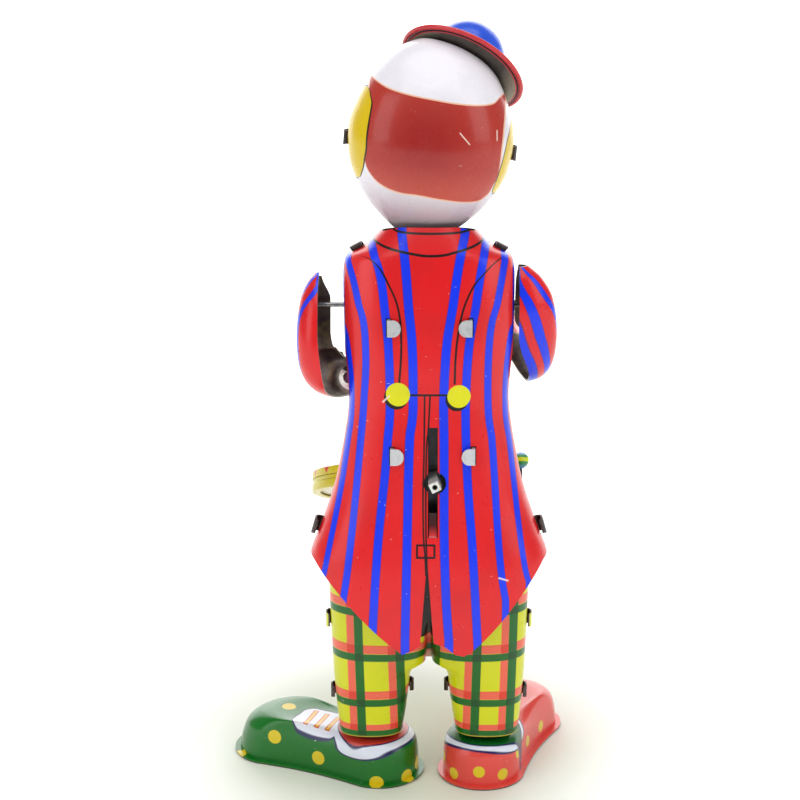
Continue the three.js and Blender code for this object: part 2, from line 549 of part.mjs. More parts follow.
function sleevePoint(arm, inset) {
  const armPath = new THREE.CatmullRomCurve3([
    [-2, arm.top], [-0.6, 131], [-0.4, 120.5], [-3.4, 114.2], [-11, 111.6], [-20, 111], [-29.5, 111.6],
  ].map(([y, z]) => new THREE.Vector3(0, y, z)));
  return (i, j) => {
    const s = j / ARM_STATIONS;
    const centre = armPath.getPoint(s);
    const tangent = armPath.getTangent(s);
    const a = rad(ARM_RING[i]);
    const half = armHalf(s) - inset;
    const bend = smooth(0.3, 0.5, s);
    const wrist = smooth(0.42, 1, s);
    const depthShare = mix(mix(arm.deep, arm.elbowDeep, bend), 1, wrist);
    const deep = Math.max(armDepth(s) * depthShare - inset, 0.1);
    const flatWall = ARM_RING[i] < -90;
    const reach = flatWall ? -arm.lip : deep * Math.cos(a);
    const offset = half * (flatWall ? -1 : Math.sin(a));
    const slim = mix(1, 0.72, smooth(0.3, 1, s));
    const edge = mix(mix(arm.edge, arm.elbow, bend), WRIST_EDGE, wrist);
    const x = edge + reach * (flatWall ? 1 : slim);
    return [x, centre.y - tangent.z * offset, centre.z + tangent.y * offset];
  };
}

function armParts(side) {
  const turn = ARM_REST[side > 0 ? 0 : 1];
  const flip = (body) => (side > 0 ? body : body.mirror([1, 0, 0]));
  const swing = (body) => flip(body).translate([0, -SHOULDER_Y, -SHOULDER_Z]).rotate([turn, 0, 0])
    .translate([0, SHOULDER_Y, SHOULDER_Z]);
  const name = side > 0 ? 'left' : 'right';
  const arm = ARMS[name];
  const sleeve = sheet(ARM_RING.length - 1, ARM_STATIONS, sleevePoint(arm, 0), sleevePoint(arm, TIN));
  add(`${name}_sleeve`, swing(sleeve), 0xdb232a);
  // wire: anchor leg inside the trough, run through the coat's side, crank arm, end in the rocker's ear
  const bend = [arm.anchor, SHOULDER_Y, SHOULDER_Z];
  const wire = rod([16.4, SHOULDER_Y, SHOULDER_Z], [arm.anchor + 0.7, SHOULDER_Y, SHOULDER_Z], 0.8, 12)
    .add(rod([bend[0], bend[1], bend[2] + 0.8], [bend[0], bend[1] + 0.4, bend[2] - 8], 0.8, 10))
    .add(rod([17.2, SHOULDER_Y - 0.8, SHOULDER_Z], [17.2, SHOULDER_Y + 3.6, SHOULDER_Z], 0.8, 10))
    .add(rod([18.0, SHOULDER_Y + 2.8, SHOULDER_Z], [12.2, SHOULDER_Y + 2.8, SHOULDER_Z], 0.8, 10));
  add(`${name}_arm_wire`, swing(wire), 0x8f9397);
  const grip = new THREE.Vector3(21.6, -35.2, 111.6);
  const aim = new THREE.Vector3(-10.5, -19, -25.0).normalize();
  const from = grip.clone().addScaledVector(aim, -9);
  const tip = grip.clone().addScaledVector(aim, 31.0);
  const fist = new THREE.SphereGeometry(1, 10, 7);
  fist.scale(4.4, 5.4, 4.6);
  fist.rotateX(rad(-10));
  fist.translate(grip.x, grip.y, grip.z);
  const wrist = rod([grip.x, -27, 111.6], [grip.x, -33, 111.6], 1.7, 10);
  const hand = solid(fist).add(wrist).subtract(rod(from.toArray(), tip.toArray(), 1.2, 10));
  add(`${name}_hand`, swing(hand), 0xf6f2ea);
  add(`${name}_drumstick`, swing(rod(from.toArray(), tip.toArray(), 0.9, 10)), 0x2a2320);
  const bead = new THREE.SphereGeometry(2.1, 10, 7);
  const end = tip.clone().addScaledVector(aim, 1.4);
  bead.translate(end.x, end.y, end.z);
  const along = (distance) => tip.clone().addScaledVector(aim, distance).toArray();
  const socket = rod(along(-4), along(GAP), 1.2, 10);
  add(`${name}_stick_bead`, swing(solid(bead).subtract(socket)), 0xf0e23a);
}
armParts(1);
armParts(-1);

// ---- drum ----
const drumAt = (body) => body.rotate([DRUM.tilt, 0, 0]).translate([DRUM.x, DRUM.y, DRUM.z]);
const DRUM_SIDES = 32;
const hoop = (flip) => {
  const at = (r, down) => [r, flip * (DRUM.half - down)];
  return turned([
    at(DRUM.radius, 2.3), at(DRUM.radius, 0), at(DRUM.radius - 2.4, 0), at(DRUM.radius - 2.4, 0.7),
    at(DRUM.radius - 0.7, 0.7), at(DRUM.radius - 0.7, 2.3), at(DRUM.radius, 2.3),
  ], DRUM_SIDES);
};
const wallRadius = DRUM.radius - 1.0;
const wallEnd = DRUM.half - 1.8;
add('drum_wall', drumAt(turned([
  [wallRadius, -wallEnd], [wallRadius, wallEnd], [wallRadius - 0.7, wallEnd],
  [wallRadius - 0.7, -wallEnd], [wallRadius, -wallEnd],
], DRUM_SIDES)), 0xd6b811);
add('drum_hoop_top', drumAt(hoop(1)), 0xd6b811);
add('drum_hoop_bottom', drumAt(hoop(-1)), 0xd6b811);
const disc = (z0, z1) => drumAt(turned([[0, z0], [wallRadius, z0], [wallRadius, z1], [0, z1]], DRUM_SIDES));
add('drum_head', disc(DRUM.half - 1.5, DRUM.half - 1.0), 0xf4efe2);
add('drum_bottom', disc(1.0 - DRUM.half, 1.5 - DRUM.half), 0xf4efe2);
// knob on the figure's right of the drum: banded ball on a rod that stands along the wall
const knobTurn = rad(170);
const knobR = DRUM.radius + GAP + 0.5;
const knobX = knobR * Math.cos(knobTurn);
const knobY = knobR * Math.sin(knobTurn);
const ball = new THREE.SphereGeometry(2.4, 12, 8);
ball.rotateX(Math.PI / 2);
ball.translate(knobX + 0.3, knobY + 0.2, 6.2);
add('drum_knob', drumAt(solid(ball)
  .add(rod([knobX, knobY, -DRUM.half - 1.6], [knobX, knobY, 5.4], 0.45, 8))), 0xd8dc30);
// bracket: bent strap that runs from the coat out to the drum and on along its underside
const frontSkin = coatDepthAt(0, 62, coatFront);
const underDrum = (along) => {
  const turn = rad(DRUM.tilt);
  const down = -DRUM.half - 0.8;
  return [
    DRUM.y + along * Math.cos(turn) - down * Math.sin(turn),
    DRUM.z + along * Math.sin(turn) + down * Math.cos(turn),
  ];
};
const strapLine = [[-frontSkin - 0.85, 58.8], [-frontSkin - 0.85, 64.2], underDrum(8), underDrum(-10)];
const strapRun = (a, b) => box(-4, 4, 0, Math.hypot(b[0] - a[0], b[1] - a[1]), -0.4, 0.4)
  .rotate([Math.atan2(b[1] - a[1], b[0] - a[0]) * 180 / Math.PI, 0, 0])
  .translate([0, a[0], a[1]]);
const strapBend = ([y, z]) => rod([-4, y, z], [4, y, z], 0.4, 12);
const lip = strapRun(strapLine[0], strapLine[1]).subtract(rod([0, -25, 61.1], [0, -6, 61.1], 1.3, 12));
add('drum_bracket', lip
  .add(strapBend(strapLine[1]))
  .add(strapRun(strapLine[1], strapLine[2]))
  .add(strapBend(strapLine[2]))
  .add(strapRun(strapLine[2], strapLine[3])), 0xa9adb0);
add('bracket_rivet', turnedAlongY([
  [0, -frontSkin - 2.5], [2, -frontSkin - 2.5], [2, -frontSkin - 1.6], [1, -frontSkin - 1.6],
  [1, -frontSkin + 1.1], [2, -frontSkin + 1.1], [2, -frontSkin + 1.5], [0, -frontSkin + 1.5],
], 12, 0, 61.1), 0x8f9397);

// ---- shoes: one stamping each, open below, with a flange flat on the floor ----
const SHOE = { heelBack: 2, reach: 32.5, flange: 12, wall: 10.6, ankle: 6.6, top: 12.2, hole: 1.45 };
const SHOE_COLUMNS = 26;

// centre, outward direction and waist of the outline, all the way round
function shoeOutline(i) {
  const quarter = [10, 3, 10, 3];
  let k = i;
  let part = 0;
  while (k >= quarter[part]) {
    k -= quarter[part];
    part += 1;
  }
  const share = k / quarter[part];
  const toeX = SHOE.reach - SHOE.heelBack;
  const heelX = -SHOE.heelBack;
  if (part === 0) return { x: toeX, angle: mix(-90, 90, share), waist: 0 };
  if (part === 1) return { x: mix(toeX, heelX, share), angle: 90, waist: Math.sin(share * Math.PI) };
  if (part === 2) return { x: heelX, angle: mix(90, 270, share), waist: 0 };
  return { x: mix(heelX, toeX, share), angle: 270, waist: Math.sin(share * Math.PI) };
}

//   inward share, height, toe swell, edge radius
const SHOE_RINGS = [
  [0, TIN, 0, 'flange'], [0, TIN, 0, 'wall'], [0.03, 5.5, 0, 'wall'], [0.1, 9.0, 1.0, 'wall'],
  [0.28, 10.8, 2.0, 'wall'], [0.62, 11.9, 0.4, 'wall'], [1, SHOE.top, 0, 'wall'],
  [1, SHOE.top, 0, 'hole'],
];

function shoePoint(inset) {
  return (i, j) => {
    const edge = shoeOutline(i);
    const [inward, height, swell, kind] = SHOE_RINGS[j];
    const a = rad(edge.angle);
    const base = kind === 'flange' ? SHOE.flange : SHOE.wall - (j > 0 ? inset : 0);
    const radius = base - edge.waist * 1.3;
    const x = edge.x + radius * Math.cos(a);
    const y = radius * Math.sin(a);
    const heading = Math.atan2(y, x);
    const core = kind === 'hole' ? SHOE.hole : SHOE.ankle;
    const toe = smooth(8, 30, x);
    const z = height + swell * toe - (j < 2 ? inset : inset * smooth(0, 0.2, inward));
    const share = kind === 'hole' ? 1 : inward;
    return [mix(x, core * Math.cos(heading), share), mix(y, core * Math.sin(heading), share), z];
  };
}

const shoeBody = sheet(SHOE_COLUMNS, SHOE_RINGS.length - 1, shoePoint(0), shoePoint(TIN), () => true, true);
for (const [k, side] of [[0, 1], [1, -1]]) {
  const name = side > 0 ? 'left' : 'right';
  const atAnkle = (body) => body.translate([side * LEG_X, ANKLE_Y, 0]);
  add(`${name}_shoe`, atAnkle(shoeBody.rotate([0, 0, SHOE_TURN[k]])), side > 0 ? 0x0e671f : 0xe65f55);
  let foot = turned([[1.45, SHOE.top + GAP], [7.4, SHOE.top + GAP], [7.4, 13.2], [1.45, 13.2],
    [1.45, SHOE.top + GAP]], 20).scale([1, 0.86, 1]);
  foot = foot.add(box(-6.6, -5.9, -2, 2, 12.8, 19)).add(box(5.9, 6.6, -2, 2, 12.8, 19));
  add(`${name}_foot_plate`, atAnkle(foot.translate([0, 1.2, 0])
    .subtract(rod([0, 0, 10], [0, 0, 16], 1.45, 12))), 0x8f9397);
  add(`${name}_ankle_rivet`, atAnkle(turned([
    [0, 10.2], [2.4, 10.2], [2.4, SHOE.top - TIN - GAP], [1.1, SHOE.top - TIN - GAP],
    [1.1, 13.5], [2.2, 13.5], [2.2, 14.4], [0, 14.4],
  ], 12)), 0x9a9ea3);
}

export default group;
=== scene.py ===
"""Looks of the wind-up drumming figure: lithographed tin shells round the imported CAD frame."""

import math
from functools import reduce

import bmesh
import bpy
import numpy as np
from mathutils import Euler, Matrix, Vector


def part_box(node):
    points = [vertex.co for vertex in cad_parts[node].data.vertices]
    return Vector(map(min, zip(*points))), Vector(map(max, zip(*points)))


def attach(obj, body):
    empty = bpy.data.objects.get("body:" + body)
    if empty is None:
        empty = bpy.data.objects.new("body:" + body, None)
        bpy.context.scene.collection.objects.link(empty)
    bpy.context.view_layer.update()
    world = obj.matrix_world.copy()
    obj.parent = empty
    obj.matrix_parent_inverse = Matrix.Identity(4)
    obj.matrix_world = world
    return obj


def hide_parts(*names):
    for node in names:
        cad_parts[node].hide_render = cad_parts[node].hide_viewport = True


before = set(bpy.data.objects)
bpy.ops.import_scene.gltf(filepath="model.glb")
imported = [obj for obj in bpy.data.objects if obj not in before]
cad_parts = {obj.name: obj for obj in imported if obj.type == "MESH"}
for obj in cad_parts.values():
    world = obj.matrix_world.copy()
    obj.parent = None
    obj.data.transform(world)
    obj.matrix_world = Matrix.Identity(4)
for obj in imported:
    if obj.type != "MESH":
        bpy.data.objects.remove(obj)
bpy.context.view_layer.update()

# ---- driving values: millimetres of the design, whose origin is between the feet ----
MM = 0.001
SHEET = 0.45                  # tin thickness as seen at the cut edges
SEAM = 0.15                   # half the gap left along every front/back seam
LIFT = 0.3                    # gap between touching pieces
COLLAR_Z = 150.4
CUFF_Z = 14.0
SHOULDER = (-2.5, 129.5)      # arm axis, y and z
ARM_REST = {"left": 14, "right": -14}
LEG_X = 15.2
ANKLE_Y = -4.0
SHOE_TURN = {"left": -25, "right": -112}
ARBOR = (-1.5, 86.8)
DRUM = {"place": (3.8, -46.85, 68.8), "tilt": 23, "half": 3.0, "radius": 30.25}
HAT = {"place": (-7.75, -4, 187.3), "lean": 30, "tilt": -27, "brim": 16.2, "crown": 9.4, "height": 13.8}
HEAD = {"place": (-0.4, 0, 171.0), "tilt": -5.5}
PIN_MIDDLE_Y = -1.6           # middle of the rocker's pin, on the design's own axes

pin_low, pin_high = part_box("rocker_pin")
SHIFT = Vector((
    (pin_low.x + pin_high.x) / 2 / MM,
    (pin_low.y + pin_high.y) / 2 / MM - PIN_MIDDLE_Y,
    0,
))


# ---- curves and shapes ----
def curve(points):
    """A smooth function through [place, value] pairs, held at its end values."""
    xs, ys = np.array(points, float).T
    rise = np.empty(len(xs))
    rise[1:-1] = (ys[2:] - ys[:-2]) / (xs[2:] - xs[:-2])
    rise[0] = (ys[1] - ys[0]) / (xs[1] - xs[0])
    rise[-1] = (ys[-1] - ys[-2]) / (xs[-1] - xs[-2])

    def at(t):
        t = np.clip(t, xs[0], xs[-1])
        i = np.clip(np.searchsorted(xs, t, side="right") - 1, 0, len(xs) - 2)
        h = xs[i + 1] - xs[i]
        s = (t - xs[i]) / h
        start = (2 * s**3 - 3 * s**2 + 1) * ys[i] + (s**3 - 2 * s**2 + s) * rise[i] * h
        return start + (3 * s**2 - 2 * s**3) * ys[i + 1] + (s**3 - s**2) * rise[i + 1] * h

    return at


def smooth(a, b, v):
    t = np.clip((v - a) / (b - a), 0, 1)
    return t * t * (3 - 2 * t)


def mix(a, b, t):
    return a + (b - a) * t


def power(v, p):
    return np.sign(v) * np.abs(v) ** p


def even(low, high, count):
    """Values spread evenly from low to high."""
    return np.linspace(low, high, count)


# ---- meshes ----
PRINTED, BARE = 0, 1


def finish_mesh(mesh, sharp=38):
    mesh.shade_smooth()
    mesh.set_sharp_from_angle(angle=math.radians(sharp))


def linked(name, data):
    """New object in the scene."""
    thing = bpy.data.objects.new(name, data)
    bpy.context.scene.collection.objects.link(thing)
    return thing


def applied(thing):
    """The object's mesh with its modifiers applied."""
    bpy.context.view_layer.update()
    graph = bpy.context.evaluated_depsgraph_get()
    return bpy.data.meshes.new_from_object(thing.evaluated_get(graph))


def mesh_of(name, bm):
    """Mesh made from a bmesh, which is freed."""
    mesh = bpy.data.meshes.new(name)
    bm.to_mesh(mesh)
    bm.free()
    return mesh


def make_object(name, mesh, matrix=None):
    piece = linked(name, mesh)
    piece.matrix_world = Matrix.Translation(SHIFT * MM) @ (matrix or Matrix.Identity(4))
    return piece


def turned_to(place, *turns):
    """Matrix that turns about X, then Y, then Z, in degrees, and moves to place, in millimetres."""
    turn = Euler([math.radians(a) for a in turns], "XYZ").to_matrix().to_4x4()
    return Matrix.Translation(Vector(place) * MM) @ turn


def welded_mesh(name, points, faces, kinds, uvs=None):
    """Mesh in metres from points in millimetres, welded and facing outwards."""
    mesh = bpy.data.meshes.new(name)
    mesh.from_pydata((np.asarray(points, float) * MM).tolist(), [], faces)
    mesh.polygons.foreach_set("material_index", kinds)
    if uvs is not None:
        layer = mesh.uv_layers.new(name="Print")
        corners = np.empty(len(mesh.loops), int)
        mesh.loops.foreach_get("vertex_index", corners)
        layer.data.foreach_set("uv", np.asarray(uvs, float)[corners].ravel())
    bm = bmesh.new()
    bm.from_mesh(mesh)
    bmesh.ops.remove_doubles(bm, verts=bm.verts, dist=2e-6)
    bmesh.ops.dissolve_degenerate(bm, edges=bm.edges, dist=1e-7)
    bmesh.ops.recalc_face_normals(bm, faces=bm.faces)
    bm.to_mesh(mesh)
    bm.free()
    return mesh


def shell(name, outer, inner, keep=None, wrap=False, uv=None):
    """Closed tin sheet between two grids of points, [row][column]; keep says which cells stay."""
    rows, columns = outer.shape[:2]
    cells = columns if wrap else columns - 1
    count = rows * columns
    faces, kinds = [], []

    def at(side, i, j):
        return side * count + j * columns + i % columns

    def held(i, j):
        if not 0 <= j < rows - 1 or not (wrap or 0 <= i < cells):
            return False
        return keep is None or bool(keep[j, i % cells])

    def quad(kind, *corners):
        faces.append(corners)
        kinds.append(kind)

    for j in range(rows - 1):
        for i in range(cells):
            if not held(i, j):
                continue
            quad(PRINTED, at(0, i, j), at(0, i + 1, j), at(0, i + 1, j + 1), at(0, i, j + 1))
            quad(BARE, at(1, i, j), at(1, i, j + 1), at(1, i + 1, j + 1), at(1, i + 1, j))
            if not held(i, j - 1):
                quad(BARE, at(0, i, j), at(1, i, j), at(1, i + 1, j), at(0, i + 1, j))
            if not held(i, j + 1):
                quad(BARE, at(0, i + 1, j + 1), at(1, i + 1, j + 1), at(1, i, j + 1), at(0, i, j + 1))
            if not held(i - 1, j):
                quad(BARE, at(0, i, j + 1), at(1, i, j + 1), at(1, i, j), at(0, i, j))
            if not held(i + 1, j):
                quad(BARE, at(0, i + 1, j), at(1, i + 1, j), at(1, i + 1, j + 1), at(0, i + 1, j + 1))
    points = np.concatenate([outer.reshape(-1, 3), inner.reshape(-1, 3)])
    uvs = None if uv is None else np.concatenate([uv.reshape(-1, 2)] * 2)
    return welded_mesh(name, points, faces, kinds, uvs)


def turned(name, profile, sides, kinds=None):
    """Solid of revolution from [radius, height] pairs; kinds gives each step's material."""
    steps = len(profile)
    angle = even(0, 2 * math.pi, sides + 1)[:-1]
    points = [[r * math.cos(a), r * math.sin(a), h] for r, h in profile for a in angle]
    faces, marks = [], []
    for j in range(steps - 1):
        for i in range(sides):
            k = (i + 1) % sides
            faces.append((j * sides + i, j * sides + k, (j + 1) * sides + k, (j + 1) * sides + i))
            marks.append(PRINTED if kinds is None else kinds[j])
    return welded_mesh(name, points, faces, marks)


def rounded(profile, radius, steps=4):
    """A profile with its inner corners rounded."""
    result = [profile[0]]
    for before, here, after in zip(profile, profile[1:], profile[2:]):
        a, b, c = (np.array(p, float) for p in (before, here, after))
        to_a, to_c = a - b, c - b
        cut = min(radius, np.linalg.norm(to_a) / 2.2, np.linalg.norm(to_c) / 2.2)
        start = b + to_a / np.linalg.norm(to_a) * cut
        end = b + to_c / np.linalg.norm(to_c) * cut
        for t in even(0, 1, steps):
            result.append(tuple((1 - t) ** 2 * start + 2 * t * (1 - t) * b + t * t * end))
    result.append(profile[-1])
    return result


def tube(name, path, radius, sides=16, cap=True):
    """Round rod along a path of points, with its ends rounded over."""
    points = [Vector(p) for p in path]
    rings = []
    side = None
    for k, here in enumerate(points):
        ahead = (points[min(k + 1, len(points) - 1)] - points[max(k - 1, 0)]).normalized()
        if side is None:
            side = ahead.orthogonal().normalized()
        side = (side - ahead * side.dot(ahead)).normalized()
        rings.append((here, ahead, side, ahead.cross(side)))
    spots, count = [], 0

    def add_ring(centre, a, b, size):
        nonlocal count
        for k in range(sides):
            turn = 2 * math.pi * k / sides
            spots.append(centre + (a * math.cos(turn) + b * math.sin(turn)) * size)
        count += 1

    ends = [(0.03, 0), (0.55, 0.04), (0.85, 0.16), (1, 0.42)] if cap else [(1, 0)]
    here, ahead, a, b = rings[0]
    for size, back in ends:
        add_ring(here + ahead * radius * back, a, b, radius * size)
    for here, ahead, a, b in rings[1:-1]:
        add_ring(here, a, b, radius)
    here, ahead, a, b = rings[-1]
    for size, back in reversed(ends):
        add_ring(here - ahead * radius * back, a, b, radius * size)
    faces = [
        (low + i, low + (i + 1) % sides, low + sides + (i + 1) % sides, low + sides + i)
        for low in range(0, (count - 1) * sides, sides) for i in range(sides)
    ]
    faces.append(tuple(range(sides)))
    faces.append(tuple(reversed(range((count - 1) * sides, count * sides))))
    return welded_mesh(name, spots, faces, [PRINTED] * len(faces))


def block(name, corners_low, corners_high, bevel=0.0):
    """A rounded block between two corners, in millimetres."""
    bm = bmesh.new()
    bmesh.ops.create_cube(bm, size=1)
    low, high = Vector(corners_low), Vector(corners_high)
    for vert in bm.verts:
        vert.co = low + (high - low) * 0.5 + Vector(c * s for c, s in zip(vert.co, high - low))
    if bevel:
        bmesh.ops.bevel(bm, geom=bm.edges[:], offset=bevel, segments=3, affect="EDGES", profile=0.5)
    bmesh.ops.scale(bm, vec=(MM, MM, MM), verts=bm.verts)
    return mesh_of(name, bm)


def joined(name, *meshes):
    """One mesh holding several."""
    bm = bmesh.new()
    for mesh in meshes:
        bm.from_mesh(mesh)
        bpy.data.meshes.remove(mesh)
    return mesh_of(name, bm)


def mirrored(mesh, side):
    """The same mesh, turned into the right hand one where side is -1."""
    if side < 0:
        mesh.transform(Matrix.Scale(-1, 4, (1, 0, 0)))
        mesh.flip_normals()
    return mesh


def cut(piece, *cutters, sharp=38):
    """Takes the cutters' shapes out of a piece; the cut walls are bare tin."""
    for mesh in cutters:
        tool = linked("cutter", mesh)
        tool.matrix_world = piece.matrix_world
        for material in piece.data.materials:
            mesh.materials.append(material)
        mesh.polygons.foreach_set("material_index", [BARE] * len(mesh.polygons))
        modifier = piece.modifiers.new("cut", "BOOLEAN")
        modifier.operation = "DIFFERENCE"
        modifier.solver = "EXACT"
        modifier.object = tool
    result = applied(piece)
    for modifier in list(piece.modifiers):
        bpy.data.objects.remove(modifier.object)
        piece.modifiers.remove(modifier)
    piece.data = result
    finish_mesh(result, sharp)


def rod_mesh(start, end, radius, sides=32):
    """Plain cylinder between two points, for cutting."""
    path = [Vector(start), Vector(end)]
    return tube("rod", path, radius, sides, cap=False)


# ---- printed and metal finishes ----
def linear(rgb):
    """Linear colour of an sRGB colour given in 0 to 255."""
    values = [c / 255 for c in rgb]
    return [c / 12.92 if c <= 0.04045 else ((c + 0.055) / 1.055) ** 2.4 for c in values] + [1]


class Wire:
    """A number in a node tree, used in sums like a plain number."""

    def __init__(self, tree, socket):
        self.tree = tree
        self.socket = socket

    def math(self, operation, *others, clamp=False):
        node = self.tree.nodes.new("ShaderNodeMath")
        node.operation = operation
        node.use_clamp = clamp
        for slot, value in zip(node.inputs, (self, *others)):
            if isinstance(value, Wire):
                self.tree.links.new(value.socket, slot)
            else:
                slot.default_value = float(value)
        return Wire(self.tree, node.outputs[0])

    def __add__(self, other):
        return self.math("ADD", other)

    def __sub__(self, other):
        return self.math("SUBTRACT", other)

    def __mul__(self, other):
        return self.math("MULTIPLY", other)

    def __abs__(self):
        return self.math("ABSOLUTE")

    def least(self, other):
        return self.math("MINIMUM", other)

    def most(self, other):
        return self.math("MAXIMUM", other)

    def corner(self, other):
        """Length of the slant over two legs."""
        return (self * self + other * other).math("SQRT")

    def inside(self, soft=0.12):
        """1 where the distance is below zero, 0 outside, with an edge as soft as given."""
        return self.math("MULTIPLY_ADD", -1 / soft, 0.5, clamp=True)

    def band(self, half, soft=0.12):
        """1 where the distance from zero is under half."""
        return abs(self).math("MULTIPLY_ADD", -1 / soft, half / soft + 0.5, clamp=True)

    def between(self, low, high, soft=0.12):
        return (self - (low + high) / 2).band((high - low) / 2, soft)

    def ramp(self, low, high):
        """0 at low, 1 at high, and straight between."""
        return self.math("MULTIPLY_ADD", 1 / (high - low), -low / (high - low), clamp=True)

    def along(self, points):
        """Value of a drawn curve through [place, value] pairs at this place."""
        xs, ys = zip(*points)
        low, high = min(ys), max(ys)
        span = (high - low) or 1.0
        node = self.tree.nodes.new("ShaderNodeFloatCurve")
        line = node.mapping.curves[0]
        shares = [((x - xs[0]) / (xs[-1] - xs[0]), (y - low) / span) for x, y in points]
        line.points[0].location = shares[0]
        line.points[1].location = shares[-1]
        for share in shares[1:-1]:
            line.points.new(*share)
        node.mapping.extend = "HORIZONTAL"
        node.mapping.update()
        self.tree.links.new(self.ramp(xs[0], xs[-1]).socket, node.inputs["Value"])
        return Wire(self.tree, node.outputs["Value"]).math("MULTIPLY_ADD", span, low)


